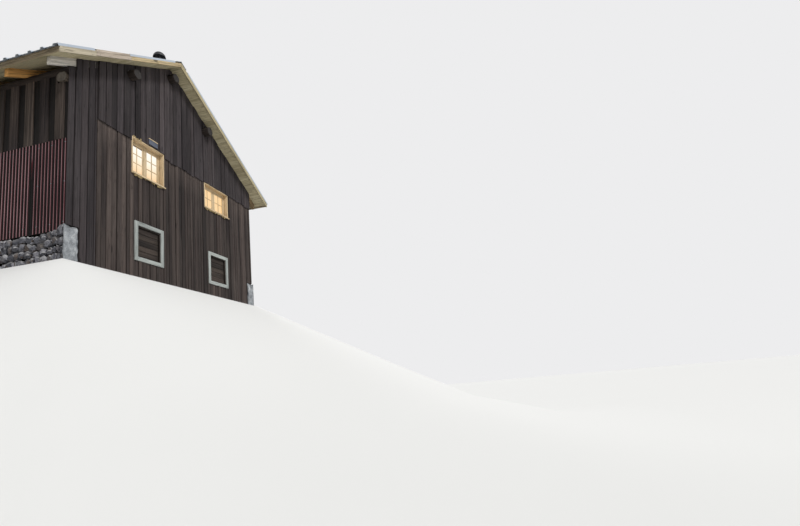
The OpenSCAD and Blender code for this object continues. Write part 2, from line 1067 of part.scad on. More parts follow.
// Masonry stack from the upper floor through the right slope
module chimney_stack() {
    x = ridge_x + chimney_off;
    y = front_y + chimney_at;
    color(render_grey)
        difference() {
            block([x - stack_s / 2, y - stack_s / 2, floor_h],
                  [x + stack_s / 2, y + stack_s / 2, ridge_h + stack_over]);
            block([x - flue_s / 2, y - flue_s / 2, floor_h + flue_s],
                  [x + flue_s / 2, y + flue_s / 2, 2 * ridge_h]);
        }
}

// Quarter of an ellipse, the outline of half a dome
module half_arch(r, high) {
    intersection() {
        scale([1, high / r])
            circle(r = r, $fn = arch_sides);
        square([r, high]);
    }
}

// Sheet pipe with a flange on the stack, and a domed cap on four straps over its mouth
module chimney_hood() {
    flange = 40;
    strap = 24;
    strap_t = 5;
    strap_lap = 40;
    pipe_r = pipe_d / 2;
    dome_r = hood_w / 2;
    rim = pipe_h + hood_gap;
    strap_top = rim + hood_h * sqrt(1 - pow(pipe_r / dome_r, 2)) - 0.75 * hood_t;
    color(dark_metal)
        translate([ridge_x + chimney_off, front_y + chimney_at, ridge_h + stack_over]) {
            difference() {
                union() {
                    cylinder(h = hood_t, r = pipe_r + flange, $fn = arch_sides);
                    cylinder(h = pipe_h, r = pipe_r, $fn = arch_sides);
                    for (turn = [45 : 90 : 315])
                        rotate([0, 0, turn])
                            translate([pipe_r - strap_t / 2, -strap / 2, pipe_h - strap_lap])
                                cube([strap_t, strap, strap_top - pipe_h + strap_lap]);
                }
                translate([0, 0, -past])
                    cylinder(h = rim, r = pipe_r - hood_t, $fn = arch_sides);
            }
            translate([0, 0, rim])
                rotate_extrude($fn = arch_sides)
                    difference() {
                        half_arch(dome_r, hood_h);
                        half_arch(dome_r - hood_t, hood_h - hood_t);
                    }
        }
}

corner_piers();
left_plinth();
right_plinth();
front_wall();
back_wall();
left_wall();
right_wall();
front_gable_wall();
back_gable_wall();
front_tie_log();
back_tie_log();
floor_joists();
upper_floor();
front_boards_lower();
front_boards_upper();
back_boards_lower();
back_boards_upper();
left_boards();
left_cover_boards();
right_boards();
right_cover_boards();
red_sheets();
ridge_purlin();
middle_purlins();
eave_purlins();
rafters_left();
rafters_right();
roof_boards_left();
roof_boards_right();
battens_left();
battens_right();
roof_metal_left();
roof_metal_right();
ridge_cap();
front_bargeboards();
back_bargeboards();
eave_fascias();
verge_trims();
front_window_linings();
front_window_frames();
front_window_sashes();
front_window_glass();
back_window_linings();
back_window_frames();
back_window_sashes();
back_window_glass();
window_sills();
front_hatch_frames();
back_hatch_frames();
hatch_shutters();
door_frame();
door_leaf();
gable_plate();
chimney_stack();
chimney_hood();
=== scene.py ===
import math
import random

import bmesh
import bpy
from mathutils import Matrix, Vector, noise


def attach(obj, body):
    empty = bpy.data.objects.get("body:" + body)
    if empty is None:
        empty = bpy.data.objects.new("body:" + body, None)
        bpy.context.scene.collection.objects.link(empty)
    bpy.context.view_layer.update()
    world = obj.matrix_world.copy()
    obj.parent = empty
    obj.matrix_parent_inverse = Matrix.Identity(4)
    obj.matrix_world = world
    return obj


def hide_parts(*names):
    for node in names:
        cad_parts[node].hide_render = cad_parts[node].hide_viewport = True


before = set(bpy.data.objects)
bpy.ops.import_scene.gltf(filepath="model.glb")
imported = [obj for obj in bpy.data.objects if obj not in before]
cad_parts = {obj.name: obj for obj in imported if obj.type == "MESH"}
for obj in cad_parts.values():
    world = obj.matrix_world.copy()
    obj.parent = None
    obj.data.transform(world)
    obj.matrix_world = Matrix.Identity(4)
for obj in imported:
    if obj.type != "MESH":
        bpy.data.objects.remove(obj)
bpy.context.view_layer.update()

# Camera
# It stands below the front left corner and looks up past the gable through a short lens, leaning to
# the left. The lens is raised a little, so that the house stands in the upper left of the picture.
camera_place = (-9.9201, -11.5752, -2.6243)
camera_yaw = math.radians(13.1830)
camera_pitch = math.radians(9.2277)
camera_lean = math.radians(-4.9502)
camera_lens = 22.0548
camera_film = 36.0
camera_rise = 0.05
camera_sight = 1000.0
quarter = math.radians(90)
camera_turn = (
    Matrix.Rotation(camera_yaw - quarter, 4, "Z")
    @ Matrix.Rotation(quarter + camera_pitch, 4, "X")
    @ Matrix.Rotation(camera_lean, 4, "Z")
)
bpy.ops.object.camera_add(location=camera_place, rotation=camera_turn.to_euler())
camera = bpy.context.object
camera.name = "camera"
camera.data.lens = camera_lens
camera.data.sensor_width = camera_film
camera.data.shift_y = camera_rise
camera.data.clip_end = camera_sight
bpy.context.scene.camera = camera
bpy.context.scene.view_settings.view_transform = "Standard"


# Studio
# A pale mound with a flat top as large as the foot of the walls. It falls away on all sides, because
# the house stands above the camera. A soft lamp at the front left, a weak one behind, a plain pale sky.
mound_reach = (3.27, 4.10)
mound_cuts = (26, 32)
mound_rings = [0.15, 0.4, 0.8, 1.5, 2.5, 4.0, 6.0, 8.5, 12.0, 20.0, 45.0, 150.0]
mound_fall = 0.52
mound_depth = 4.4
mound_bend = 1.6
lamps = {
    "front_lamp": {"turn": (48, 0, -22), "energy": 2.1, "spread": 14},
    "back_lamp": {"turn": (55, 0, 145), "energy": 0.9, "spread": 30},
}
sky_pale = "#ededee"
sky_shown = 1.0
sky_light = 0.55


def paint(colour):
    """A linear colour from an sRGB hex value."""
    parts = [int(colour[i : i + 2], 16) / 255 for i in (1, 3, 5)]
    linear = [p / 12.92 if p <= 0.04045 else ((p + 0.055) / 1.055) ** 2.4 for p in parts]
    return (*linear, 1.0)


def add_node(tree, kind, sockets=(), out=None, stops=None, **settings):
    """Adds one node with its settings, sets or links its sockets by name or order, returns an output.

    The stops of a colour ramp are a place and a hex value each, or a place and a number for a grey.
    """
    made = tree.nodes.new("ShaderNode" + kind)
    for name, value in settings.items():
        setattr(made, name, value)
    if stops:
        ramp = made.color_ramp
        stops = [(place, paint(c) if isinstance(c, str) else (c, c, c, 1)) for place, c in stops]
        ramp.elements[0].position, ramp.elements[0].color = stops[0]
        ramp.elements[1].position, ramp.elements[1].color = stops[-1]
        for place, colour in stops[1:-1]:
            ramp.elements.new(place).color = colour
    ready = [s for s in made.inputs if s.enabled]
    for key, value in sockets.items() if isinstance(sockets, dict) else enumerate(sockets):
        socket = ready[key] if isinstance(key, int) else next(s for s in ready if s.name == key)
        if isinstance(value, bpy.types.NodeSocket):
            tree.links.new(value, socket)
        else:
            socket.default_value = value
    return next(s for s in made.outputs if s.enabled and out in (None, s.name))


def start_finish(name, roughness=0.8, metallic=0.0, specular=0.5):
    """An empty finish: its material, its tree and its shader."""
    made = bpy.data.materials.new(name)
    made.use_nodes = True
    shader = made.node_tree.nodes["Principled BSDF"]
    shader.inputs["Roughness"].default_value = roughness
    shader.inputs["Metallic"].default_value = metallic
    shader.inputs["Specular IOR Level"].default_value = specular
    return made, made.node_tree, shader


def add_shape(kind, **settings):
    """Adds a primitive, which is then the only thing that is selected."""
    bpy.ops.object.select_all(action="DESELECT")
    getattr(bpy.ops.mesh, "primitive_" + kind + "_add")(**settings)
    return bpy.context.object


def settle():
    """Puts the place, turn and size of the selected piece in its mesh."""
    bpy.ops.object.transform_apply(location=True, rotation=True, scale=True)


mound = add_shape("grid", x_subdivisions=mound_cuts[0], y_subdivisions=mound_cuts[1], size=1)
mound.name = "mound"
mound.scale = (2 * mound_reach[0], 2 * mound_reach[1], 1)
settle()
bpy.ops.object.mode_set(mode="EDIT")
bpy.ops.mesh.select_all(action="SELECT")
bpy.ops.mesh.region_to_loop()
last_ring = 0.0
for ring in mound_rings:
    grown = [(half + ring) / (half + last_ring) for half in mound_reach]
    bpy.ops.mesh.extrude_edges_move()
    bpy.ops.transform.resize(value=(*grown, 1))
    last_ring = ring
bpy.ops.object.mode_set(mode="OBJECT")
for corner in mound.data.vertices:
    away = [max(abs(corner.co[i]) - mound_reach[i], 0) for i in (0, 1)]
    drop = mound_fall * math.hypot(*away)
    past_bend = drop - mound_depth + mound_bend
    if past_bend < 0:
        corner.co.z = -drop
    else:
        corner.co.z = -mound_depth + mound_bend * math.exp(-past_bend / mound_bend)
bpy.ops.object.shade_smooth()
floor_paint, tree, shader = start_finish("matt_studio_paint", roughness=0.9)
cloud = add_node(tree, "TexNoise", {"Scale": 0.6, "Detail": 2.0})
tone = add_node(tree, "ValToRGB", [cloud], stops=[(0.3, "#dcdcda"), (0.7, "#e2e2e0")])
tree.links.new(tone, shader.inputs["Base Color"])
mound.data.materials.append(floor_paint)

for name, look in lamps.items():
    turn = [math.radians(angle) for angle in look["turn"]]
    bpy.ops.object.light_add(type="SUN", rotation=turn)
    lamp = bpy.context.object
    lamp.name = name
    lamp.data.energy = look["energy"]
    lamp.data.angle = math.radians(look["spread"])

sky = bpy.data.worlds.new("studio_sky")
bpy.context.scene.world = sky
sky.use_nodes = True
tree = sky.node_tree
tree.nodes.clear()
seen = add_node(tree, "LightPath", out="Is Camera Ray")
mirrored = add_node(tree, "LightPath", out="Is Glossy Ray")
through = add_node(tree, "LightPath", out="Is Transmission Ray")
either = add_node(tree, "Math", [mirrored, through], operation="MAXIMUM")
shown = add_node(tree, "Math", [seen, either], operation="MAXIMUM")
glow = add_node(tree, "Background", {"Color": (1, 1, 1, 1), "Strength": sky_light})
pale = add_node(tree, "Background", {"Color": paint(sky_pale), "Strength": sky_shown})
both = add_node(tree, "MixShader", [shown, glow, pale])
add_sky = tree.nodes.new("ShaderNodeOutputWorld")
tree.links.new(both, add_sky.inputs["Surface"])


# Corner piers
# Rubble piers at the four corners, plastered on the gable side only, with rough lime render that has
# a ragged edge. It is cast on by hand, so it is lumpy. Their long sides show the same stones as the
# plinths, which are laid further down.
pier_low = Vector((-3.190, -4.018, 0.0))
pier_high = Vector((-2.866, -3.834, 0.686))
pier_coat = 0.044
pier_cuts = 15
coat_lump = 0.11
coat_rough = 0.028
ragged_turns = 9
inner_band = 0.06
inner_ragged = 0.028
inner_cut = 0.6
outer_band = 0.03
outer_from = 0.02
outer_ragged = 0.03
outer_cut = 0.5
top_band = 0.03
top_ragged = 0.05
top_cut = 0.35
top_turns = 0.7
half_turn = Matrix.Rotation(math.pi, 4, "Z")
to_right = Matrix.Diagonal((-1, 1, 1, 1))
to_back = Matrix.Diagonal((1, -1, 1, 1))
multiply = {"data_type": "RGBA", "blend_type": "MULTIPLY"}


def add_block(name, low, high):
    """A block between two corners, with its place in its mesh."""
    low, high = Vector(low), Vector(high)
    made = add_shape("cube", size=1, location=(low + high) / 2)
    made.name = name
    made.data.name = name
    made.scale = high - low
    settle()
    return made


def apply_change(piece, kind, **settings):
    """Adds one modifier with its settings and applies it."""
    bpy.context.view_layer.objects.active = piece
    change = piece.modifiers.new(kind.lower(), kind)
    for name, value in settings.items():
        setattr(change, name, value)
    bpy.ops.object.modifier_apply(modifier=change.name)


def cut_evenly(piece, cuts):
    """Subdivides every edge of a piece."""
    bpy.context.view_layer.objects.active = piece
    bpy.ops.object.mode_set(mode="EDIT")
    bpy.ops.mesh.select_all(action="SELECT")
    bpy.ops.mesh.subdivide(number_cuts=cuts)
    bpy.ops.object.mode_set(mode="OBJECT")


def roughen(piece, lump, depth):
    """Moves the surface in by lumps of a given size, up to a depth, and never further out than it was."""
    normals = [v.normal.copy() for v in piece.data.vertices]
    for corner, normal in zip(piece.data.vertices, normals):
        worn = 0.5 + 0.5 * noise.fractal(corner.co / lump, 1.0, 2.0, 3)
        corner.co -= normal * depth * max(0.0, worn)


def move_mesh(piece, matrix):
    """Moves a piece's mesh, and turns its faces back out where that mirrors it."""
    piece.data.transform(matrix)
    if matrix.determinant() < 0:
        piece.data.flip_normals()


def copy_of(model, name, matrix=None):
    """A copy of a piece with its own mesh, put in another place."""
    made = model.copy()
    made.data = model.data.copy()
    made.name = name
    made.data.name = name
    bpy.context.collection.objects.link(made)
    if matrix is not None:
        move_mesh(made, matrix)
    return made


def join(name, parts):
    """Joins pieces of one kind into one."""
    bpy.ops.object.select_all(action="DESELECT")
    for part in parts:
        part.select_set(True)
    bpy.context.view_layer.objects.active = parts[0]
    if len(parts) > 1:
        bpy.ops.object.join()
    made = bpy.context.object
    made.name = name
    made.data.name = name
    return made


def put(piece, node=None, finish=None):
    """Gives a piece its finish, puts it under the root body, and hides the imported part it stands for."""
    if finish:
        piece.data.materials.append(finish)
    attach(piece, "root")
    if node:
        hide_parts(node)


def set_surface(tree, shader, tone, height, strength, depth):
    """Gives a finish its colour, and relief from a height."""
    tree.links.new(tone, shader.inputs["Base Color"])
    bump = add_node(tree, "Bump", {"Strength": strength, "Distance": depth, "Height": height})
    tree.links.new(bump, shader.inputs["Normal"])


def grainy_finish(name, tones, stain, grain, relief, roughness, specular=0.5, speck=None):
    """A dull grainy mass: a stain sets its tone, and a finer grain specks it and lifts it.

    The stain and the grain are each the scale, detail and roughness of a noise.
    """
    made, tree, shader = start_finish(name, roughness, specular=specular)
    spot = add_node(tree, "TexCoord", out="Object")
    layers = []
    for scale, detail, rough in (stain, grain):
        values = {"Vector": spot, "Scale": scale, "Detail": detail, "Roughness": rough}
        layers.append(add_node(tree, "TexNoise", values))
    tone = add_node(tree, "ValToRGB", layers[:1], stops=tones)
    if speck:
        shade = add_node(tree, "ValToRGB", layers[1:], stops=speck)
        tone = add_node(tree, "Mix", [1.0, tone, shade], **multiply)
    set_surface(tree, shader, tone, layers[1], *relief)
    return made


# Lime render: pale grey, grainy, with stains; the grain is drawn 12 mm wide so that it shows
render_coat = grainy_finish(
    "lime_render_cast_by_hand",
    [(0.3, "#66696d"), (0.5, "#93979b"), (0.7, "#c1c4c6")],
    stain=(5.0, 5.0, 0.6),
    grain=(85.0, 4.0, 0.7),
    relief=(0.9, 0.006),
    roughness=0.92,
    speck=[(0.34, 0.5), (0.66, 1.2)],
)
pier = add_block("pier", pier_low, (pier_high.x, pier_low.y + pier_coat, pier_high.z))
cut_evenly(pier, pier_cuts)
for corner in pier.data.vertices:
    spot = corner.co * ragged_turns
    if corner.co.x > pier_high.x - inner_band:
        corner.co.x += inner_ragged * (noise.noise(spot) - inner_cut)
    if corner.co.x < pier_low.x + outer_band and corner.co.y > pier_low.y + outer_from:
        corner.co.x += outer_ragged * max(0.0, outer_cut + noise.noise(spot))
    if corner.co.z > pier_high.z - top_band:
        corner.co.z -= top_ragged * max(0.0, top_cut + noise.noise(spot * top_turns))
roughen(pier, coat_lump, coat_rough)
for corner in pier.data.vertices:
    corner.co.z = max(pier_low.z, corner.co.z)
bpy.ops.object.shade_smooth()
piers = [pier] + [copy_of(pier, "pier", move) for move in (half_turn, to_right, to_back)]
put(join("corner_pier_render", piers), "corner_piers", render_coat)


# Rubble plinths
# Field stones laid in rough courses along both long walls, with their faces out and little mortar to
# be seen between them. Behind them is a core of rubble and lime mortar that carries the sill logs.
plinth_face = 3.190
plinth_thick = 0.36
plinth_end = 3.834
plinth_top = 0.6
course_heights = [0.155, 0.14, 0.155, 0.15]
course_sag = 0.08
sag_turns = (2.2, 3)
pier_course = 0.09
pier_stones_below = 0.004
pier_core_below = 0.012
stone_kinds = 9
stone_cuts = 2
stone_ball = 0.55
stone_worn = 0.72
stone_rough = 0.19
stone_turns = 2.4
stone_steps = (7.3, 3.1)
stone_wides = (0.085, 0.185)
stone_fill = 0.96
stone_talls = (0.84, 1.08)
stone_deep = 0.16
stone_deeps = (0.85, 1.15)
stone_tilt = 0.4
stone_backs = (0.012, 0.05)
stone_lift = 0.012
stone_smooth = 24
mortar_back = 0.115
mortar_lump = 0.3
mortar_reach = 0.012
plinth_core_cuts = 9
pier_core_cuts = 3
noise_seed = 17
stone_chance = random.Random(11)
# The noise that shapes the stones, and further on the boards and the foam, is the same at every run
noise.seed_set(noise_seed)


def model_stone(number):
    """One rough stone in a unit cube."""
    stone = add_shape("cube", size=1)
    cut_evenly(stone, stone_cuts)
    for corner in stone.data.vertices:
        step = Vector((number * stone_steps[0], number * stone_steps[1], 0))
        spot = corner.co * stone_turns + step
        corner.co = corner.co.lerp(corner.co.normalized() * stone_ball, stone_worn)
        corner.co += stone_rough * noise.noise_vector(spot)
    return stone


def smooth_under(degrees):
    """Smooths the selected piece, but not over edges that turn more than an angle."""
    bpy.ops.object.shade_smooth_by_angle(angle=math.radians(degrees))


def lay_stones(name, side, run, top, heights):
    """The stones of one stretch of a long side, course by course, held inside its outline."""
    start, stop = run
    laid = []
    foot = 0.0
    for height in heights:
        place = start
        while place < stop:
            wide = stone_chance.uniform(*stone_wides)
            tall = height * stone_chance.uniform(*stone_talls)
            deep = stone_deep * stone_chance.uniform(*stone_deeps)
            size = Matrix.Diagonal((deep, wide * stone_fill, tall, 1))
            tilt = Matrix.Rotation(stone_chance.uniform(-stone_tilt, stone_tilt), 4, "X")
            over = Matrix.Rotation(stone_chance.choice((0, math.pi)), 4, "X")
            out = side * (plinth_face - deep / 2 - stone_chance.uniform(*stone_backs))
            spot = Vector((place * sag_turns[0], foot * sag_turns[1], side))
            sag = course_sag * noise.noise(spot)
            up = foot + height / 2 + sag + stone_chance.uniform(-stone_lift, stone_lift)
            seat = Matrix.Translation((out, place + wide / 2, up))
            model = stone_chance.choice(stones)
            laid.append(copy_of(model, "stone", seat @ tilt @ size @ over))
            place += wide
        foot += height
    made = join(name, laid)
    for corner in made.data.vertices:
        corner.co.x = side * min(side * corner.co.x, plinth_face)
        corner.co.y = max(start, min(stop, corner.co.y))
        corner.co.z = max(0.0, min(top, corner.co.z))
    smooth_under(stone_smooth)
    return made


def lay_core(name, side, inner, run, top, cuts):
    """The mortar behind the stones of one stretch."""
    inner, outer = sorted((side * inner, side * (plinth_face - mortar_back)))
    core = add_block(name, (inner, run[0], 0), (outer, run[1], top))
    cut_evenly(core, cuts)
    roughen(core, mortar_lump, mortar_reach)
    return core


# Limestone rubble: dark grey with brown and pale stones among it, paler on its upward faces with dust and a
# painted highlight
stone_face, tree, shader = start_finish("limestone_rubble_split", roughness=0.9, specular=0.15)
spot = add_node(tree, "TexCoord", out="Object")
lot = add_node(tree, "NewGeometry", out="Random Per Island")
stone_tones = [
    (0.0, "#3d3e43"),
    (0.22, "#606066"),
    (0.42, "#483f39"),
    (0.58, "#707075"),
    (0.78, "#404147"),
    (1.0, "#88878d"),
]
tone = add_node(tree, "ValToRGB", [lot], stops=stone_tones)
lump = add_node(tree, "TexNoise", {"Vector": spot, "Scale": 26.0, "Detail": 6.0, "Roughness": 0.65})
speck = add_node(tree, "ValToRGB", [lump], stops=[(0.3, 0.5), (0.7, 1.6)])
mixed = add_node(tree, "Mix", [1.0, tone, speck], **multiply)
facing = add_node(tree, "NewGeometry", out="Normal")
upward = add_node(tree, "SeparateXYZ", [facing], out="Z")
# Upward faces are mixed towards pale grey: dust, and a painted highlight where light falls on their tops
dust_and_highlight = add_node(tree, "ValToRGB", [upward], stops=[(0.1, 0), (0.7, 0.75)])
dusty_and_lit = add_node(tree, "Mix", [dust_and_highlight, mixed, paint("#b7b6b6")], data_type="RGBA")
set_surface(tree, shader, dusty_and_lit, lump, 0.8, 0.012)

# Lime mortar, painted near black as the shade in the gaps between the stones; the coarse sand in it is
# drawn 17 mm wide so that it shows
mortar = grainy_finish(
    "lime_mortar_painted_shade",
    [(0.3, "#070707"), (0.7, "#100f0f")],
    stain=(60.0, 3.0, 0.5),
    grain=(60.0, 3.0, 0.5),
    relief=(0.8, 0.005),
    roughness=0.95,
    specular=0.1,
)
stones = [model_stone(number) for number in range(stone_kinds)]
plinth_run = (-plinth_end, plinth_end)
plinth_back = plinth_face - plinth_thick
for side, node in ((-1, "left_plinth"), (1, "right_plinth")):
    rubble = lay_stones(node + "_stones", side, plinth_run, plinth_top, course_heights)
    core = lay_core(node + "_core", side, plinth_back, plinth_run, plinth_top, plinth_core_cuts)
    put(rubble, node, stone_face)
    put(core, node, mortar)
pier_stones = []
pier_cores = []
pier_heights = course_heights + [pier_course]
for side, end in ((-1, -1), (-1, 1), (1, -1), (1, 1)):
    run = sorted((end * plinth_end, end * (-pier_low.y - pier_coat)))
    pier_stones.append(lay_stones("stones", side, run, pier_high.z - pier_stones_below, pier_heights))
    core_top = pier_high.z - pier_core_below
    pier_cores.append(lay_core("core", side, -pier_high.x, run, core_top, pier_core_cuts))
put(join("corner_pier_stones", pier_stones), "corner_piers", stone_face)
put(join("corner_pier_cores", pier_cores), "corner_piers", mortar)
for stone in stones:
    bpy.data.objects.remove(stone)


# Timber walls and floor
# Squared spruce logs behind the boards, joists that span the house and a floor of thick planks. They show
# only through gaps, so the imported solids stay and get a wood finish that is painted near black as the
# shade in those gaps.
flat_along_x = (0, quarter, 0)
flat_along_y = (quarter, 0, 0)
wood_specular = 0.2
wood_relief = (0.7, 0.004)
# Each layer of a wood's look repeats so often in a metre across the grain and along it, in such detail
patch_layer = (2.6, 0.5, 3.0)
streak_layer = (34.0, 0.6, 3.0)
fibre_layer = (150.0, 4.0, 3.0)
check_layer = (52.0, 0.9, 2.0)
log_bands = (7.0, 7.0, 0.2)
knot_spread = (5.0, 5.0, 1.7)
lot_spread = 60.0
wall_tones = ["#15110e", "#1b1612", "#211b16"]
wall_worn = "#100d0b"
wall_woods = [
    (
        "across",
        flat_along_x,
        ["front_wall", "back_wall", "front_gable_wall", "back_gable_wall", "floor_joists"],
    ),
    ("along", flat_along_y, ["left_wall", "right_wall", "upper_floor"]),
]


def wood_finish(
    name,
    tones,
    worn,
    wear=0.4,
    streak=0.5,
    knots=0.5,
    turn=(0, 0, 0),
    lots=True,
    roughness=0.82,
    pale=None,
):
    """Sawn wood with its grain up the turned Z axis; each board has a tone of its own if there are lots.

    It turns pale between two heights if it is given them, a strength and a colour.
    """
    made, tree, shader = start_finish(name, roughness, specular=wood_specular)
    spot = add_node(tree, "TexCoord", out="Object")
    grain_place = add_node(tree, "Mapping", {"Vector": spot, "Rotation": turn})
    if lots:
        lot = add_node(tree, "NewGeometry", out="Random Per Island")
    else:
        bands = add_node(tree, "VectorMath", [grain_place, log_bands], operation="MULTIPLY")
        lot = add_node(tree, "TexVoronoi", {"Vector": bands, "Scale": 1.0}, out="Color")
        lot = add_node(tree, "SeparateXYZ", [lot], out="X")
    own = add_node(tree, "Math", [lot, lot_spread], operation="MULTIPLY")

    def drawn_out(across, along, detail):
        """Noise drawn out along the grain, with its own place on each board."""
        stretch = (across, across, along)
        drawn = add_node(tree, "VectorMath", [grain_place, stretch], operation="MULTIPLY")
        values = {"Vector": drawn, "W": own, "Scale": 1.0, "Detail": detail}
        return add_node(tree, "TexNoise", values, noise_dimensions="4D")

    last = len(tones) - 1
    tone = add_node(tree, "ValToRGB", [lot], stops=[(i / last, tones[i]) for i in range(len(tones))])
    patch = add_node(tree, "ValToRGB", [drawn_out(*patch_layer)], stops=[(0.4, 0.0), (0.62, wear)])
    tone = add_node(tree, "Mix", [patch, tone, paint(worn)], data_type="RGBA")
    if pale:
        height = add_node(tree, "SeparateXYZ", [spot], out="Z")
        reach = {"Value": height, "From Min": pale[0], "From Max": pale[1], "To Max": pale[2]}
        near = add_node(tree, "MapRange", reach)
        tone = add_node(tree, "Mix", [near, tone, paint(pale[3])], data_type="RGBA")
    streaks = drawn_out(*streak_layer)
    fibre = drawn_out(*fibre_layer)
    checks = drawn_out(*check_layer)
    split = add_node(tree, "ValToRGB", [checks], stops=[(0.47, 1.0), (0.5, 0.4), (0.53, 1.0)])
    spread = add_node(tree, "VectorMath", [grain_place, knot_spread], operation="MULTIPLY")
    knot_place = {"Vector": spread, "W": own, "Scale": 1.0}
    knot = add_node(tree, "TexVoronoi", knot_place, voronoi_dimensions="4D")
    for shade in (
        add_node(tree, "ValToRGB", [streaks], stops=[(0.36, 1 - streak), (0.64, 1 + streak / 2)]),
        add_node(tree, "ValToRGB", [fibre], stops=[(0.3, 0.82), (0.7, 1.16)]),
        split,
        add_node(tree, "ValToRGB", [knot], stops=[(0.1, 1 - knots), (0.17, 1.0)]),
    ):
        tone = add_node(tree, "Mix", [1.0, tone, shade], **multiply)
    rise = add_node(tree, "ValToRGB", [streaks], stops=[(0.3, 0.5), (0.7, 1.0)])
    fine_rise = add_node(tree, "ValToRGB", [fibre], stops=[(0.3, 0.7), (0.7, 1.0)])
    for layer in (fine_rise, split):
        rise = add_node(tree, "Mix", [1.0, rise, layer], **multiply)
    set_surface(tree, shader, tone, rise, *wood_relief)
    return made


def refinish(nodes, finish):
    """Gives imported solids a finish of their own."""
    for node in nodes:
        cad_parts[node].material_slots[0].material = finish


# Hewn spruce, dull and near-black brown, painted as the shade it lies in behind the gaps; each log or plank
# has its own tone
for way, turn, nodes in wall_woods:
    wood = wood_finish("hewn_spruce_painted_shade_" + way, wall_tones, wall_worn, turn=turn, lots=False)
    refinish(nodes, wood)


# Gable boards
# Rough-sawn larch boards of many widths nailed upright in two tiers. The upper tier stands a board's
# thickness proud and its ends hang unevenly over the lower one. They are black-brown with age and sun.
gable_left = -3.135
gable_right = 3.135
lap = 3.06
lap_hidden = 0.02
ragged_feet = 0.035
corner_run = 0.65
corner_head = 4.6
upper_head = 5.7
board_back = -3.974
lower_face = -4.000
corner_proud = 0.004
upper_face = -4.026
ridge_at = -0.385
ridge_soffit = 5.507
slope_rise = 0.5589
slope_gap = 0.004
window_boxes = [(-1.603, 2.320, -0.619, 3.144), (0.897, 2.385, 1.961, 3.063)]
hatch_boxes = [(-1.515, 0.390, -0.651, 1.256), (1.012, 0.335, 1.876, 1.201)]
openings = window_boxes + hatch_boxes
opening_clear = 0.002
cut_front = -4.1
cut_back = -3.9
cut_side = 3.3
cut_foot = -0.1
left_soffit = 3.970
notch_deep = 0.160
notch_side = 0.1
notch_wide = 0.165
notch_head = 4.5
purlin_ends = [(-0.385, 5.239), (-1.635, 4.540), (0.945, 4.496)]
purlin_reach = 0.119
purlin_cut_sides = 32
purlin_cut_at = -4
purlin_cut_deep = 0.4
plank_half = 0.08
plank_thin = 0.013
plank_edge = 0.004
plank_cuts = 5
plank_wave = 0.0025
plank_turns = 1.3
board_gap = (0.005, 0.0105)
board_sinks = (0.0, 0.0, 0.004, 0.009, 0.014)
low_widths = (0.082, 0.138)
high_widths = (0.115, 0.2)
nail_radius = 0.0055
nail_long = 0.006
nail_sunk = 0.001
nail_rim = 0.35
nail_rise = 0.0006
nail_in = 0.026
nail_stray = 0.02
nail_from_slope = 0.05
nail_from_opening = 0.03
nail_from_log = 0.02
low_nail_rows = (0.82, 1.95, 2.93)
corner_nail_rows = (0.82, 1.95, 3.02, 3.66)
high_nail_rows = (3.22, 4.05, 4.95)
board_chance = random.Random(5)
nail_chance = random.Random(6)


def pick(piece, kind, test):
    """Selects what passes a test, in edit mode."""
    bpy.ops.mesh.select_mode(type=kind)
    bpy.ops.mesh.select_all(action="DESELECT")
    mesh = bmesh.from_edit_mesh(piece.data)
    for part in {"VERT": mesh.verts, "EDGE": mesh.edges, "FACE": mesh.faces}[kind]:
        part.select_set(test(part))
    bmesh.update_edit_mesh(piece.data)


def climb(edge):
    """How far an edge climbs along Z."""
    return abs(edge.verts[0].co.z - edge.verts[1].co.z)


def model_plank():
    """One upright plank, 160 mm wide, its two outer edges planed off a little, cut into short lengths."""
    made = add_block("plank", (-plank_half, -plank_thin, -0.5), (plank_half, plank_thin, 0.5))
    bpy.ops.object.mode_set(mode="EDIT")
    pick(made, "EDGE", lambda e: all(v.co.y < 0 for v in e.verts) and climb(e) > 0.9)
    bpy.ops.mesh.bevel(offset=plank_edge, segments=1)
    pick(made, "EDGE", lambda e: climb(e) > 0.9)
    bpy.ops.mesh.subdivide(number_cuts=plank_cuts)
    bpy.ops.object.mode_set(mode="OBJECT")
    return made


def lay_plank(low, high, wave=plank_wave, matrix=None):
    """A copy of the model plank between two corners, its planed edges at full size, a little crooked."""
    made = copy_of(plank, "plank")
    low, high = Vector(low), Vector(high)
    middle, half = (low + high) / 2, (high - low) / 2
    seed = Vector((board_chance.uniform(0, 90), board_chance.uniform(0, 90), 0))
    for corner in made.data.vertices:
        spot = corner.co.copy()
        corner.co.x = middle.x + math.copysign(half.x - (plank_half - abs(spot.x)), spot.x)
        corner.co.y = middle.y + math.copysign(half.y - (plank_thin - abs(spot.y)), spot.y)
        corner.co.z = middle.z + spot.z * 2 * half.z
        crook = noise.noise_vector(seed + Vector((0, 0, plank_turns * corner.co.z)))
        corner.co.x += wave * crook.x
        if spot.y < 0:
            corner.co.y += 0.6 * wave * (1 + crook.y)
    if matrix is not None:
        move_mesh(made, matrix)
    return made


def cut_out(piece, cutters):
    """Takes the cutters' shapes out of a piece and removes them."""
    for cutter in cutters:
        apply_change(piece, "BOOLEAN", object=cutter, operation="DIFFERENCE", solver="EXACT")
        bpy.data.objects.remove(cutter)


def trim_by(piece, point, outward):
    """Cuts a piece off beyond a plane and closes the cut."""
    bpy.ops.object.select_all(action="DESELECT")
    bpy.context.view_layer.objects.active = piece
    piece.select_set(True)
    bpy.ops.object.mode_set(mode="EDIT")
    bpy.ops.mesh.select_all(action="SELECT")
    bpy.ops.mesh.bisect(plane_co=point, plane_no=outward, use_fill=True, clear_outer=True)
    bpy.ops.object.mode_set(mode="OBJECT")


def soffit_at(x):
    """The height of the underside of the roof boards."""
    return ridge_soffit - slope_rise * abs(x - ridge_at)


def under_slopes(piece):
    """Cuts the top of a gable piece along both slopes, a little below the soffit."""
    top = (ridge_at, 0, ridge_soffit - slope_gap)
    for side in (1, -1):
        trim_by(piece, top, (side * slope_rise, 0, 1))


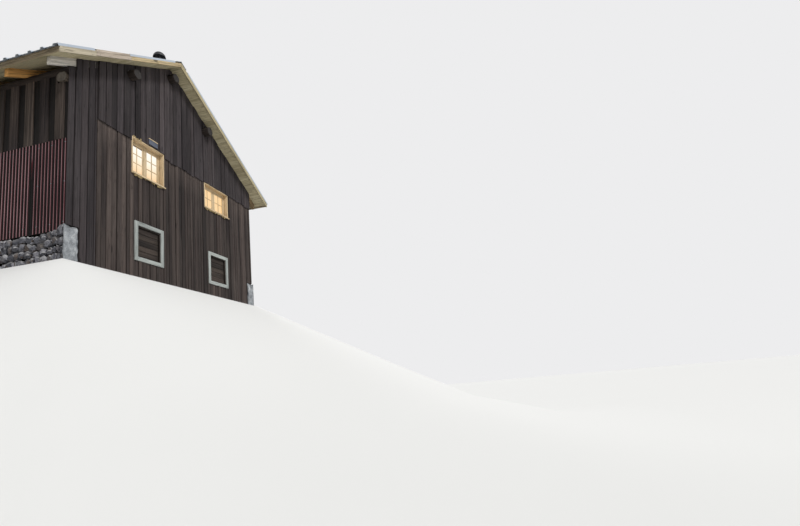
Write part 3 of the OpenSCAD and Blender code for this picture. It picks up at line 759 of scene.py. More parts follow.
def widths_between(start, end, narrow, wide):
    """Edges of boards of chance widths that fill a run."""
    edges = [start]
    while edges[-1] < end - wide:
        edges.append(edges[-1] + board_chance.uniform(narrow, wide))
    edges.append(end)
    return edges


def model_nail():
    """A flat hammered nail head that points down, sunk 4 mm into the wood."""
    place = (0, 0, -nail_sunk)
    head = add_shape("cylinder", vertices=8, radius=nail_radius, depth=nail_long, location=place)
    bpy.ops.object.mode_set(mode="EDIT")
    pick(head, "FACE", lambda f: f.normal.z > 0.9)
    bpy.ops.mesh.inset(thickness=nail_radius * nail_rim, depth=nail_rise)
    bpy.ops.object.mode_set(mode="OBJECT")
    return head


def takes_nail(x, z):
    """Whether a nail finds solid board, away from the slopes, the openings and the purlins."""
    if soffit_at(x) - z <= nail_from_slope:
        return False
    near = nail_from_opening
    for x0, z0, x1, z1 in openings:
        if x0 - near < x < x1 + near and z0 - near < z < z1 + near:
            return False
    from_log = purlin_reach + nail_from_log
    return all(math.hypot(x - log_x, z - log_z) > from_log for log_x, log_z in purlin_ends)


def drive_nails(left, right, face, heights):
    """Two nails across a board at each height, where the board takes them."""
    driven = []
    for height in heights:
        for x in (left + nail_in, right - nail_in):
            z = height + nail_chance.uniform(-nail_stray, nail_stray)
            if takes_nail(x, z):
                seat = Matrix.Translation((x, face, z)) @ Matrix.Rotation(quarter, 4, "X")
                driven.append(copy_of(nail, "nail", seat))
    return driven


def gable_tier(name, run, widths, face, levels, nail_rows, ragged=0.0):
    """One tier of gable boards, before it is cut at the slopes and openings, and its nails."""
    foot, head = levels
    laid = []
    driven = []
    edges = widths_between(*run, *widths)
    for left, right in zip(edges, edges[1:]):
        gap = board_chance.uniform(*board_gap)
        sunk = board_chance.choice(board_sinks)
        low = (left + gap, face + sunk, foot - board_chance.uniform(0, ragged))
        laid.append(lay_plank(low, (right - gap, board_back, head)))
        driven += drive_nails(left + gap, right - gap, face + sunk, nail_rows)
    return join(name, laid), driven


def opening_cutters():
    """Blocks for the windows and hatches."""
    made = []
    for x0, z0, x1, z1 in openings:
        low = (x0 - opening_clear, cut_front, z0 - opening_clear)
        made.append(add_block("cutter", low, (x1 + opening_clear, cut_back, z1 + opening_clear)))
    return made


def purlin_cutters():
    """Round bars for the purlin logs."""
    size = {"vertices": purlin_cut_sides, "radius": purlin_reach, "depth": purlin_cut_deep}
    made = []
    for x, z in purlin_ends:
        place = (x, purlin_cut_at, z)
        made.append(add_shape("cylinder", **size, location=place, rotation=(quarter, 0, 0)))
    return made


# Larch boards darkened by sun and smoke: black-brown, with grey, red-brown and paler ones among them.
# The streaks are drawn 20 to 30 mm wide so that they show from far off
upper_wood = wood_finish(
    "larch_boards_sawn_blackened",
    ["#1b1718", "#322d2f", "#252123", "#3e3839", "#2b2729", "#494243", "#1f1c1d"],
    "#565051",
    wear=0.32,
    streak=0.24,
)
lower_wood = wood_finish(
    "larch_boards_sawn_weathered",
    ["#1f1a1a", "#3c3432", "#292423", "#4f4541", "#342d2b", "#2a2423", "#453c39", "#231f1e"],
    "#5c534e",
    wear=0.34,
    streak=0.26,
    pale=(2.5, 3.05, 0.25, "#6f635d"),
)
# Iron nails, rusted brown-black
nail_iron, tree, shader = start_finish("nail_iron_rusted", roughness=0.75, metallic=0.4)
spot = add_node(tree, "TexCoord", out="Object")
rust = add_node(tree, "TexNoise", {"Vector": spot, "Scale": 40.0})
tone = add_node(tree, "ValToRGB", [rust], stops=[(0.35, "#211915"), (0.65, "#4a3527")])
tree.links.new(tone, shader.inputs["Base Color"])

plank = model_plank()
nail = model_nail()
low_run = (gable_left + corner_run, gable_right)
end_run = (gable_left, gable_left + corner_run)
low_levels = (0.0, lap + lap_hidden)
end_face = lower_face - corner_proud
for gable in ("front", "back"):
    name = gable + "_boards_low"
    lower, nails = gable_tier(name, low_run, low_widths, lower_face, low_levels, low_nail_rows)
    name = gable + "_corner_boards"
    end_levels = (0.0, corner_head)
    corner, more = gable_tier(name, end_run, high_widths, end_face, end_levels, corner_nail_rows)
    nails += more
    name = gable + "_boards_high"
    high_levels = (lap, upper_head)
    upper, more = gable_tier(
        name, low_run, high_widths, upper_face, high_levels, high_nail_rows, ragged_feet
    )
    nails += more
    under_slopes(upper)
    under_slopes(corner)
    cut_out(lower, opening_cutters())
    cut_out(upper, opening_cutters() + purlin_cutters())
    low = (-pier_high.x, cut_front, cut_foot)
    cut_out(lower, [add_block("cutter", low, (cut_side, cut_back, pier_high.z))])
    low = (-cut_side, cut_front, cut_foot)
    cut_out(corner, [add_block("cutter", low, (pier_high.x, cut_back, pier_high.z))])
    low = (gable_left - notch_side, cut_front, left_soffit - notch_deep)
    cut_out(corner, [add_block("cutter", low, (gable_left + notch_wide, cut_back, notch_head))])
    heads = join(gable + "_board_nails", nails)
    for piece, wood, node in (
        (lower, lower_wood, gable + "_boards_lower"),
        (corner, upper_wood, gable + "_boards_lower"),
        (upper, upper_wood, gable + "_boards_upper"),
        (heads, nail_iron, None),
    ):
        if gable == "back":
            move_mesh(piece, to_back)
        put(piece, node, wood)


# Long wall boards
# A first layer of wide boards and, over its joints, cover boards at even distances. The left wall has
# them above the red sheets only, and the right wall down to the piers and round the bank door.
cover_step = 0.36
cover_wide = 0.205
cover_first = -3.8825
cover_count = 22
cover_wave = 0.004
cover_faces = (3.109, 3.135)
left_cover_levels = (2.357, 3.679)
right_cover_levels = (0.686, 3.249)
door_span = (0.6, 1.5)
door_foot = 1.5
door_head = 3.169
door_clear = 0.002
wall_cut = (3.0, 3.3)
tie_end_cut = (3.73, 4.2)
tie_end_levels = (3.497, 4.0)


def cover_boards(side, levels):
    """The cover boards of one long wall, before they are cut."""
    middle = side * (cover_faces[0] + cover_faces[1]) / 2
    seat = Matrix(((0, -side, 0, middle), (1, 0, 0, 0), (0, 0, 1, 0), (0, 0, 0, 1)))
    laid = []
    for number in range(cover_count):
        start = cover_first + number * cover_step
        low = (start, -plank_thin, levels[0])
        high = (start + cover_wide, plank_thin, levels[1])
        laid.append(lay_plank(low, high, wave=cover_wave, matrix=seat))
    return laid


# Larch again, browner than on the gable, and painted darker as the shade the long walls lie in under the
# wide eaves
long_wood = wood_finish(
    "larch_cover_boards_sawn",
    ["#1b1616", "#302928", "#403734", "#241f1e", "#4d443e", "#211c1c"],
    "#5e524a",
    wear=0.45,
    streak=0.6,
)
# Backing boards, painted near black as the shade in the recesses between the cover boards
backing_wood = wood_finish(
    "larch_backing_boards_sawn", ["#0d0b0a", "#15110f", "#110e0d"], "#1b1614", lots=False
)
refinish(("left_boards", "right_boards"), backing_wood)
left_cover = join("left_cover_planks", cover_boards(-1, left_cover_levels))
for end in (-1, 1):
    ends = sorted((end * tie_end_cut[0], end * tie_end_cut[1]))
    low = (-wall_cut[1], ends[0], tie_end_levels[0])
    cut_out(left_cover, [add_block("cutter", low, (-wall_cut[0], ends[1], tie_end_levels[1]))])
put(left_cover, "left_cover_boards", long_wood)
right_cover = join("right_cover_planks", cover_boards(1, right_cover_levels))
low = (wall_cut[0], door_span[0] - door_clear, door_foot - door_clear)
high = (wall_cut[1], door_span[1] + door_clear, door_head + door_clear)
cut_out(right_cover, [add_block("cutter", low, high)])
put(right_cover, "right_cover_boards", long_wood)


# Red sheets
# Corrugated steel sheets of eleven waves, painted dark red, that keep the weather off the left wall.
# Each laps the next by a wave and is screwed through its crests; their feet are not quite level. The
# last crest before the first lap has been pushed in over its lower half.
sheet_wave = 0.076
sheet_waves = 11
crest_share = 0.25
valley_share = 0.75
swing = 1.5
sheet_low = 0.6
sheet_high = 2.357
sheet_end = 3.958
sheet_out = -3.1345
sheet_off = 0.002
sheet_depth = 0.0235
sheet_metal = 0.0008
sheet_lap = 0.0012
sheet_cuts = 5
sheet_drop = 0.010
sheet_smooth = 50
dent_turns = 2.2
dent_deep = 0.0012
pushed_crest = -3.179
pushed_in = 0.018
pushed_levels = (1.15, 2.1)
screw_radius = 0.007
screw_rows = [0.72, 1.5, 2.26]
screw_crests = 4
screw_rise = 0.0005
screw_stray = 0.012
sheet_chance = random.Random(3)


def model_screw():
    """A hexagonal screw head on a domed washer, pointing up."""
    washer = add_shape("cylinder", vertices=12, radius=1.5 * screw_radius, depth=0.002)
    bpy.ops.object.mode_set(mode="EDIT")
    pick(washer, "FACE", lambda f: f.normal.z > 0.9)
    bpy.ops.mesh.inset(thickness=0.4 * screw_radius, depth=0.0015)
    bpy.ops.mesh.inset(thickness=0.2 * screw_radius, depth=-0.0005)
    bpy.ops.object.mode_set(mode="OBJECT")
    size = {"vertices": 6, "radius": 0.8 * screw_radius, "depth": 0.006}
    head = add_shape("cylinder", **size, location=(0, 0, 0.004))
    return join("screw", [head, washer])


def steel_finish(
    name,
    colour,
    worn,
    bare,
    roughness=0.5,
    metallic=0.0,
    specular=0.5,
    wear=0.5,
    run=(9.0, 9.0, 0.7),
    painted_shade_valleys=(),
):
    """Sheet metal with its surface's colour, a worn tone drawn out down the sheet, spots of dirt, and
    painted shade that darkens it with depth in any valleys it is given.
    """
    made, tree, shader = start_finish(name, roughness, metallic, specular)
    spot = add_node(tree, "TexCoord", out="Object")
    drawn = add_node(tree, "VectorMath", [spot, run], operation="MULTIPLY")
    faded = add_node(tree, "TexNoise", {"Vector": drawn, "Scale": 1.0, "Detail": 5.0, "Roughness": 0.6})
    patch = add_node(tree, "ValToRGB", [faded], stops=[(0.4, 0), (0.68, wear)])
    tone = add_node(tree, "Mix", [patch, paint(colour), paint(worn)], data_type="RGBA")
    dirt = add_node(tree, "TexNoise", {"Vector": spot, "Scale": 16.0, "Detail": 6.0, "Roughness": 0.7})
    mark = add_node(tree, "ValToRGB", [dirt], stops=[(0.6, 0), (0.78, 0.7)])
    tone = add_node(tree, "Mix", [mark, tone, paint(bare)], data_type="RGBA")
    # Painted shade: the surface darkens towards a colour the further inward it lies
    for start, stop, shade_colour in painted_shade_valleys:
        inward = add_node(tree, "SeparateXYZ", [spot], out="X")
        deep = add_node(tree, "MapRange", {"Value": inward, "From Min": start, "From Max": stop})
        tone = add_node(tree, "Mix", [deep, tone, paint(shade_colour)], data_type="RGBA")
    gloss = {"Value": faded, "To Min": roughness - 0.08, "To Max": roughness + 0.16}
    tree.links.new(add_node(tree, "MapRange", gloss), shader.inputs["Roughness"])
    set_surface(tree, shader, tone, dirt, 0.25, 0.002)
    return made


# Red paint on steel: the sun has chalked the crests to a dusty pink, and the flanks and valleys are painted
# darker the deeper they lie, dark red and then near black, as painted shade in the folds
red_paint = steel_finish(
    "red_paint_chalked",
    "#8f7275",
    "#9c8486",
    "#4a2c30",
    roughness=0.6,
    specular=0.15,
    painted_shade_valleys=[(-3.1322, -3.1298, "#4d171f"), (-3.1290, -3.1240, "#0b0505")],
)
screw_steel = steel_finish(
    "zinc_screw_heads", "#8f9498", "#a8acae", "#5d5a56", roughness=0.4, metallic=1.0
)

sheet_wide = (sheet_waves + 1) * sheet_wave
grid = {"x_subdivisions": sheet_cuts, "y_subdivisions": 4 * (sheet_waves + 1)}
sheet = add_shape("grid", **grid, size=1, rotation=(0, quarter, 0))
sheet.scale = (sheet_high - sheet_low, sheet_wide, 1)
settle()
sheet.data.transform(Matrix.Translation((0, sheet_wide / 2, 0)))
half_depth = (sheet_depth - sheet_metal) / 2
for share, move in ((crest_share, -swing * half_depth), (valley_share, swing * half_depth)):
    bpy.ops.object.mode_set(mode="EDIT")
    pick(sheet, "VERT", lambda v: abs((v.co.y / sheet_wave) % 1 - share) < 0.05)
    bpy.ops.transform.translate(value=(move, 0, 0))
    bpy.ops.object.mode_set(mode="OBJECT")
apply_change(sheet, "SUBSURF", levels=2)
sheets = []
first = -sheet_end
while first < sheet_end - sheet_wave:
    level = (sheet_low + sheet_high) / 2 + sheet_chance.uniform(-sheet_drop, sheet_drop)
    lift = sheet_lap * (len(sheets) % 2)
    out = sheet_out + sheet_depth / 2 + sheet_off - lift
    laid = copy_of(sheet, "sheet", Matrix.Translation((out, first, level)))
    for corner in laid.data.vertices:
        corner.co.x += dent_deep * noise.noise(corner.co * dent_turns)
        if not sheets:
            beside = max(0.0, 1 - 2 * abs(corner.co.y - pushed_crest) / sheet_wave)
            below = (pushed_levels[1] - corner.co.z) / (pushed_levels[1] - pushed_levels[0])
            corner.co.x += pushed_in * beside * max(0.0, min(1.0, below))
    if first + sheet_wide > sheet_end:
        trim_by(laid, (0, sheet_end, 0), (0, 1, 0))
    sheets.append(laid)
    first += sheet_waves * sheet_wave
bpy.data.objects.remove(sheet)
red_sheets = join("red_corrugated_sheets", sheets)
apply_change(red_sheets, "SOLIDIFY", thickness=sheet_metal, offset=0)
smooth_under(sheet_smooth)
put(red_sheets, "red_sheets", red_paint)
screw = model_screw()
screws = []
first_crest = -sheet_end + crest_share * sheet_wave
for number in range(0, int(2 * sheet_end / sheet_wave), screw_crests):
    for row in screw_rows:
        up = row + sheet_chance.uniform(-screw_stray, screw_stray)
        tip = (sheet_out + screw_rise, first_crest + number * sheet_wave, up)
        seat = Matrix.Translation(tip) @ Matrix.Rotation(-quarter, 4, "Y")
        screws.append(copy_of(screw, "screw", seat))
put(join("red_sheet_screws", screws), None, screw_steel)


# Logs
# Peeled spruce logs carry the rafters and stand out under the front verge; a tie log lies across the
# foot of each gable. They were rounded by axe, checked as they dried, and their ends are sawn square.
pitch = math.atan(slope_rise)
rafter_deep = 0.140
log_radius = 0.115
log_sides = 26
log_cuts = 40
log_depth = 0.008
log_turns = (14, 1.6)
log_smooth = 40
end_edge = 0.006
purlin_out = 4.19
purlin_step = 7.0
eave_out = 3.974
eave_logs = [(-3.013, 3.769, 3.679), (3.013, 3.339, 3.249)]
tie_room_at = 4.2
tie_room_half = 0.23
tie_room_side = 0.3
tie_radius = 0.12
tie_at = 3.852
tie_level = 3.589
tie_ends = (-3.170, 2.9)
tie_cuts = ((3.679, 1), (3.499, -1))
tie_below = 0.165


def model_log(name, start, end, radius, seed):
    """A round log between two points, its ends broken a little and its side hewn uneven."""
    start, end = Vector(start), Vector(end)
    made = add_shape("cylinder", vertices=log_sides, radius=radius, depth=(end - start).length)
    bpy.ops.object.mode_set(mode="EDIT")
    pick(made, "EDGE", lambda e: climb(e) < 0.001)
    bpy.ops.mesh.bevel(offset=end_edge, segments=2)
    pick(made, "EDGE", lambda e: climb(e) > 0.5)
    bpy.ops.mesh.subdivide(number_cuts=log_cuts)
    pick(made, "FACE", lambda f: len(f.verts) > 8)
    bpy.ops.mesh.inset(thickness=radius * 0.5)
    bpy.ops.object.mode_set(mode="OBJECT")
    around, along = log_turns
    for corner in made.data.vertices:
        side = Vector((corner.co.x, corner.co.y, 0))
        spot = Vector((side.x * around, side.y * around, corner.co.z * along + seed))
        hewn = noise.fractal(spot, 1.0, 2.0, 2)
        corner.co -= side * (log_depth / radius) * (0.5 + hewn)
    turn = (end - start).to_track_quat("Z", "Y").to_matrix().to_4x4()
    made.data.transform(Matrix.Translation((start + end) / 2) @ turn)
    made.name = name
    return made


def end_grain(name, colour, dark, centre, axes):
    """A sawn log end: year rings round a centre, seen along the axis left out, and grime over them."""
    made, tree, shader = start_finish(name, 0.85)
    spot = add_node(tree, "TexCoord", out="Object")
    near = add_node(tree, "VectorMath", [spot, centre], operation="SUBTRACT")
    flat = add_node(tree, "VectorMath", [near, axes], operation="MULTIPLY")
    values = {"Vector": flat, "Scale": 42.0, "Distortion": 1.2, "Detail": 2.0}
    rings = add_node(tree, "TexWave", values, wave_type="RINGS", rings_direction="SPHERICAL")
    tone = add_node(tree, "ValToRGB", [rings], stops=[(0.2, dark), (0.8, colour)])
    grime = add_node(tree, "TexNoise", {"Vector": spot, "Scale": 11.0, "Detail": 5.0})
    shade = add_node(tree, "ValToRGB", [grime], stops=[(0.35, 0.6), (0.65, 1.1)])
    tone = add_node(tree, "Mix", [1.0, tone, shade], **multiply)
    set_surface(tree, shader, tone, rings, 0.6, 0.002)
    return made


def finish_log(log, wood, rings, axis):
    """Gives a log its wood, and its sawn ends their own finish."""
    log.data.materials.append(wood)
    log.data.materials.append(rings)
    for face in log.data.polygons:
        if abs(face.normal[axis]) > 0.95:
            face.material_index = 1


def under_rafters(log, x, side):
    """Flattens a log under the rafters of one slope."""
    trim_by(log, (x, 0, soffit_at(x) - rafter_deep / math.cos(pitch)), (side * slope_rise, 0, 1))


# Spruce logs black-brown from smoke and age, greyer on the tie logs; the rings on the ends are drawn
# 7 mm apart so that they show
log_wood = wood_finish(
    "spruce_log_axe_rounded",
    ["#241e1b", "#2f2723", "#1f1a17"],
    "#3d3631",
    knots=0.6,
    turn=flat_along_y,
    lots=False,
)
tie_wood = wood_finish(
    "spruce_tie_log_axe_rounded", ["#38312b", "#463e35"], "#5b5148", turn=flat_along_x, lots=False
)
for number, (x, z) in enumerate(purlin_ends):
    start = (x, -purlin_out, z)
    log = model_log("purlin_log", start, (x, purlin_out, z), log_radius, purlin_step * number)
    if x == ridge_at:
        under_rafters(log, x, -1)
    under_rafters(log, x, 1 if x >= ridge_at else -1)
    smooth_under(log_smooth)
    rings = end_grain("spruce_log_end_sawn", "#2f2a27", "#1d1917", (x, 0, z), (1, 0, 1))
    finish_log(log, log_wood, rings, 1)
    put(log, "ridge_purlin" if x == ridge_at else "middle_purlins")
for x, z, plate in eave_logs:
    log = model_log("eave_log", (x, -eave_out, z), (x, eave_out, z), log_radius, x)
    trim_by(log, (x, 0, plate), (0, 0, -1))
    under_rafters(log, x, math.copysign(1, x))
    if x > 0:
        smooth_under(log_smooth)
    else:
        for end in (-1, 1):
            low = (x - tie_room_side, end * tie_room_at - tie_room_half, z - tie_room_side)
            high = (x + tie_room_side, end * tie_room_at + tie_room_half, z + tie_room_side)
            cut_out(log, [add_block("cutter", low, high)])
    rings = end_grain("spruce_log_end_sawn", "#2f2a27", "#1d1917", (x, 0, z), (1, 0, 1))
    finish_log(log, log_wood, rings, 1)
    put(log, "eave_purlins")
for side, node in ((-1, "front_tie_log"), (1, "back_tie_log")):
    y = side * tie_at
    start = (tie_ends[0], y, tie_level)
    log = model_log("tie_log", start, (tie_ends[1], y, tie_level), tie_radius, 3.0 + side)
    for level, up in tie_cuts:
        trim_by(log, (0, y, level), (0, 0, up))
    trim_by(log, (0, 0, soffit_at(0) - tie_below), (slope_rise, 0, 1))
    smooth_under(log_smooth)
    rings = end_grain("spruce_tie_log_end_sawn", "#70685f", "#4b453e", (0, y, tie_level), (0, 1, 1))
    finish_log(log, tie_wood, rings, 0)
    put(log, node)


# Rafters
# Sawn spruce rafters, nine to a slope, spiked to the purlins, with plumb tails that show under the left
# eave. The first at the gable is painted a pale grey and the next one an orange-brown, as painted light
# falling on them.
rafter_wide = 0.090
rafter_first = -3.974
rafter_step = 0.98225
rafter_edge = 0.005
ridge_gap = 0.002
tail_at = 3.495
# Which way each slope falls, its name, and its level run from the ridge to the eave
slopes = [(-1, "left", 3.25), (1, "right", 4.02)]


def slope_seat(side):
    """Turns a place down, along and square to a slope into a place in the building."""
    down = Vector((side * math.cos(pitch), 0, -math.sin(pitch)))
    square = Vector((side * math.sin(pitch), 0, math.cos(pitch)))
    return Matrix(
        (
            (down.x, 0, square.x, ridge_at),
            (0, 1, 0, 0),
            (down.z, 0, square.z, ridge_soffit),
            (0, 0, 0, 1),
        )
    )


def onto_slope(piece, side):
    """Moves a piece from the slope's own directions into the building."""
    move_mesh(piece, slope_seat(side))
    return piece


def rafter_turn(side):
    """The turn that brings the grain of a slope's rafters upright."""
    return (0, quarter - side * pitch, 0)


def plumb_cut(piece, level, keep):
    """Cuts a piece in the slope's own directions along a plumb plane at a level distance from the ridge."""
    out = Vector((math.cos(pitch), 0, math.sin(pitch))) * keep
    trim_by(piece, (level / math.cos(pitch), 0, 0), out)


def soften(piece, width=0.004, segments=2):
    """Rounds the sharp edges of a piece."""
    apply_change(piece, "BEVEL", width=width, segments=segments, angle_limit=math.radians(40))
    smooth_under(35)


# Sawn spruce, honey-brown under the roof; the first rafter is painted a pale grey and the second an orange,
# as painted light on them; the last value says which rafters of each slope are of that kind
rafter_kinds = [
    ("spruce_rafter_painted_pale_light", ["#cbc6bd", "#d6d1c8"], "#a5a097", {-1: [0]}),
    ("spruce_rafter_painted_orange_light", ["#d8a05c", "#e2ad6a"], "#b98345", {-1: [1]}),
    (
        "spruce_rafter_sawn",
        ["#8c7658", "#7d6a4f", "#9a8262"],
        "#6a5a46",
        {-1: range(2, 9), 1: range(9)},
    ),
]
for side, hand, run in slopes:
    tail = tail_at - side * ridge_at
    for kind, (name, tones, worn, numbers) in enumerate(rafter_kinds):
        beams = []
        for number in numbers.get(side, []):
            start = rafter_first + number * rafter_step
            high = (tail / math.cos(pitch) + 0.2, start + rafter_wide, 0)
            beam = add_block("rafter", (-0.1, start, -rafter_deep), high)
            plumb_cut(beam, ridge_gap, -1)
            plumb_cut(beam, tail, 1)
            beams.append(beam)
        if beams:
            beams = join("rafters_" + hand + "_" + str(kind), beams)
            soften(beams, rafter_edge)
            onto_slope(beams, side)
            wood = wood_finish(name, tones, worn, wear=0.35, streak=0.3, turn=rafter_turn(side))
            put(beams, "rafters_" + hand, wood)


# Roof boards
# Planks laid along the roof over the rafters, planed below. They are seen from under the wide overhangs and
# are pale yellow, painted lighter still with the light that bounces up under them; their end joints fall on
# different rafters.
deck = 0.026
deck_widths = (0.13, 0.17)
deck_gap = 0.001
deck_rest = 0.0005
deck_wave = 0.0006
deck_narrowest = 0.02
deck_from = -4.302
joint_rafters = (3, 4, 5, 6)
joint_in = 0.373
verge_in = 4.312
board_thick = 0.028
chimney_way = ((-0.153, -3.548, 5.0), (0.223, -3.172, 6.0))
deck_chance = random.Random(8)

# Planed spruce, pale olive-yellow and painted lighter as lit from below under the overhangs, a slightly
# different tone on each plank
deck_wood = wood_finish(
    "spruce_roof_planks_planed",
    ["#b5a988", "#bfb493", "#a99d7d", "#c6bc9c", "#b2a684"],
    "#cdc3a6",
    wear=0.3,
    streak=0.14,
    knots=0.35,
    turn=flat_along_y,
    roughness=0.7,
)
lay_along = Matrix(((1, 0, 0, 0), (0, 0, 1, 0), (0, 1, 0, 0), (0, 0, 0, 1)))
for side, hand, run in slopes:
    laid = []
    place = ridge_gap
    seat = slope_seat(side) @ lay_along
    last = run / math.cos(pitch) - board_thick / math.cos(pitch)
    while place < last - deck_narrowest:
        wide = min(deck_chance.uniform(*deck_widths), last - place)
        joint = deck_from + rafter_step * deck_chance.choice(joint_rafters) + joint_in
        for start, stop in ((-verge_in, joint - deck_gap), (joint + deck_gap, verge_in)):
            low = (place + deck_gap, deck_rest, start)
            high = (place + wide - deck_gap, deck - deck_rest, stop)
            laid.append(lay_plank(low, high, wave=deck_wave, matrix=seat))
        place += wide
    boards = join("roof_boards_" + hand + "_planks", laid)
    if side > 0:
        cut_out(boards, [add_block("cutter", *chimney_way)])
    put(boards, "roof_boards_" + hand, deck_wood)
bpy.data.objects.remove(plank)


# Battens
# Sawn battens across the slopes that carry the metal and let air run under it. Their ends show only
# behind the bargeboards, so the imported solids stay.
batten_wood = wood_finish(
    "spruce_battens_sawn", ["#7d6a52", "#8b775c"], "#65563f", streak=0.3, turn=flat_along_y, lots=False
)
refinish(("battens_left", "battens_right"), batten_wood)


# Ribbed metal
# Steel sheets with raised ribs, four spaces wide, zinc-coated and painted a pale blue-grey. Each laps
# the next over a rib and is screwed through the crests to the battens; the rib ends stay open.
rib_step = 0.27639
rib_spaces = 31
sheet_spaces = 4
rib_first = -4.284
pan_level = 0.0885
crest_level = 0.1165
half_crest = 0.026
half_foot = 0.046
swage_high = 0.003
swage_foot = 0.013
swage_crest = 0.008
metal_thick = 0.001
metal_from = 0.040
metal_past = 0.025
metal_lap = 0.0012
lap_lip = 0.004
metal_cuts = 14
metal_stray = 0.004
metal_dent = 0.0012
dent_spread = (1.7, 3.1)
metal_smooth = 20
batten_rows = 6
first_row = 0.32
last_row = 0.42
chimney_clear = (0.75, -3.1)
crest_screw_rise = 0.002
metal_chance = random.Random(21)


def fold_sheet(name, start, stop, bends, cuts):
    """A sheet that runs straight from start to stop and is folded across at a list of bends."""
    made = add_shape("grid", x_subdivisions=cuts, y_subdivisions=1, size=1)
    made.name = name
    made.scale = (stop - start, 1, 1)
    settle()
    (across, up), (next_across, next_up) = bends[:2]
    made.data.transform(Matrix.Translation(((start + stop) / 2, across + 0.5, up)))
    bpy.ops.object.mode_set(mode="EDIT")
    pick(made, "EDGE", lambda e: min(v.co.y for v in e.verts) > across + 0.9)
    bpy.ops.transform.translate(value=(0, next_across - across - 1, next_up - up))
    for here, there in zip(bends[1:], bends[2:]):
        move = (0, there[0] - here[0], there[1] - here[1])
        bpy.ops.mesh.extrude_edges_move(TRANSFORM_OT_translate={"value": move})
    bpy.ops.object.mode_set(mode="OBJECT")
    apply_change(made, "SOLIDIFY", thickness=metal_thick, offset=0)
    return made


def rib_bends(spaces, lapped):
    """Bends of a roof sheet across its ribs, from the first crest to the last."""
    raised = metal_lap if lapped else 0.0
    bends = [(-half_crest, crest_level + raised), (half_crest, crest_level + raised)]
    if lapped:
        foot_level = pan_level + raised
        bends = [(-half_foot - lap_lip, foot_level), (-half_foot, foot_level)] + bends
    swage = [(-swage_foot, 0), (-swage_crest, swage_high), (swage_crest, swage_high), (swage_foot, 0)]
    for space in range(spaces):
        left = space * rib_step + half_foot
        right = (space + 1) * rib_step - half_foot
        bends.append((left, pan_level))
        for third in (1, 2):
            middle = left + (right - left) * third / 3
            bends += [(middle + off, pan_level + up) for off, up in swage]
        bends.append((right, pan_level))
        bends.append((right + half_foot - half_crest, crest_level))
        bends.append((right + half_foot + half_crest, crest_level))
    return bends


# Painted steel, dull and a little chalky, with faded streaks down the sheets and spots of dirt
roof_paint = steel_finish(
    "roof_paint_blue_grey",
    "#aab4c0",
    "#bcc3ca",
    "#80868c",
    roughness=0.42,
    metallic=0.35,
    wear=0.6,
    run=(0.7, 6.0, 0.7),
)
screws = []
for side, hand, run in slopes:
    stop = run / math.cos(pitch) + metal_past
    sheets = []
    for number in range(0, rib_spaces, sheet_spaces):
        spaces = min(sheet_spaces, rib_spaces - number)
        sheet = fold_sheet("sheet", metal_from, stop, rib_bends(spaces, number > 0), metal_cuts)
        stray = metal_chance.uniform(-metal_stray, metal_stray)
        sheet.data.transform(Matrix.Translation((stray, rib_first + number * rib_step, 0)))
        for corner in sheet.data.vertices:
            spot = Vector((corner.co.x * dent_spread[0], corner.co.y * dent_spread[1], side))
            corner.co.z += metal_dent * noise.noise(spot)
        onto_slope(sheet, side)
        if side > 0 and number < 2 * sheet_spaces:
            cut_out(sheet, [add_block("cutter", *chimney_way)])
        sheets.append(sheet)
    sheets = join("roof_metal_" + hand + "_sheets", sheets)
    smooth_under(metal_smooth)
    put(sheets, "roof_metal_" + hand, roof_paint)
    for row in range(batten_rows):
        down = first_row + row * (stop - last_row) / (batten_rows - 1)
        for rib in range(1, rib_spaces, 2):
            across = rib_first + rib * rib_step
            if side > 0 and down < chimney_clear[0] and across < chimney_clear[1]:
                continue
            at = Matrix.Translation((down, across, crest_level + crest_screw_rise))
            screws.append(copy_of(screw, "screw", slope_seat(side) @ at))
put(join("roof_screws", screws), None, screw_steel)


# Ridge cap and verge trims
# The same painted steel, folded over the ridge in lapped lengths with a small roll along the top, and
# folded as angles over the outer ribs and the bargeboards. The repaired front bargeboard has no trim.
cap_reach = 0.183
cap_level = 0.1185
cap_lip = 0.008
cap_end = 4.340
cap_length = 2.22
cap_lap = 0.065
cap_cuts = 4
cap_smooth = 25
cap_screw_down = 0.178
cap_screw_rise = 0.003
roll_half = 0.012
roll_high = 0.009
trim_inner = 4.258
trim_inner_level = 0.1155
trim_outer = 4.341
trim_foot = 0.073
trim_turn_up = 0.006
trim_turn_in = 0.002
trim_start = 0.187
trim_cuts = 6
cap_top = ridge_soffit + cap_level / math.cos(pitch)
half_cap = [
    (roll_half * 0.8, cap_top + roll_high * 0.6),
    (roll_half, cap_top - slope_rise * roll_half),
    (cap_reach, cap_top - slope_rise * cap_reach),
    (cap_reach, cap_top - slope_rise * cap_reach - cap_lip),
]
cap_bends = [(-across, up) for across, up in reversed(half_cap)] + [(0, cap_top + roll_high)] + half_cap
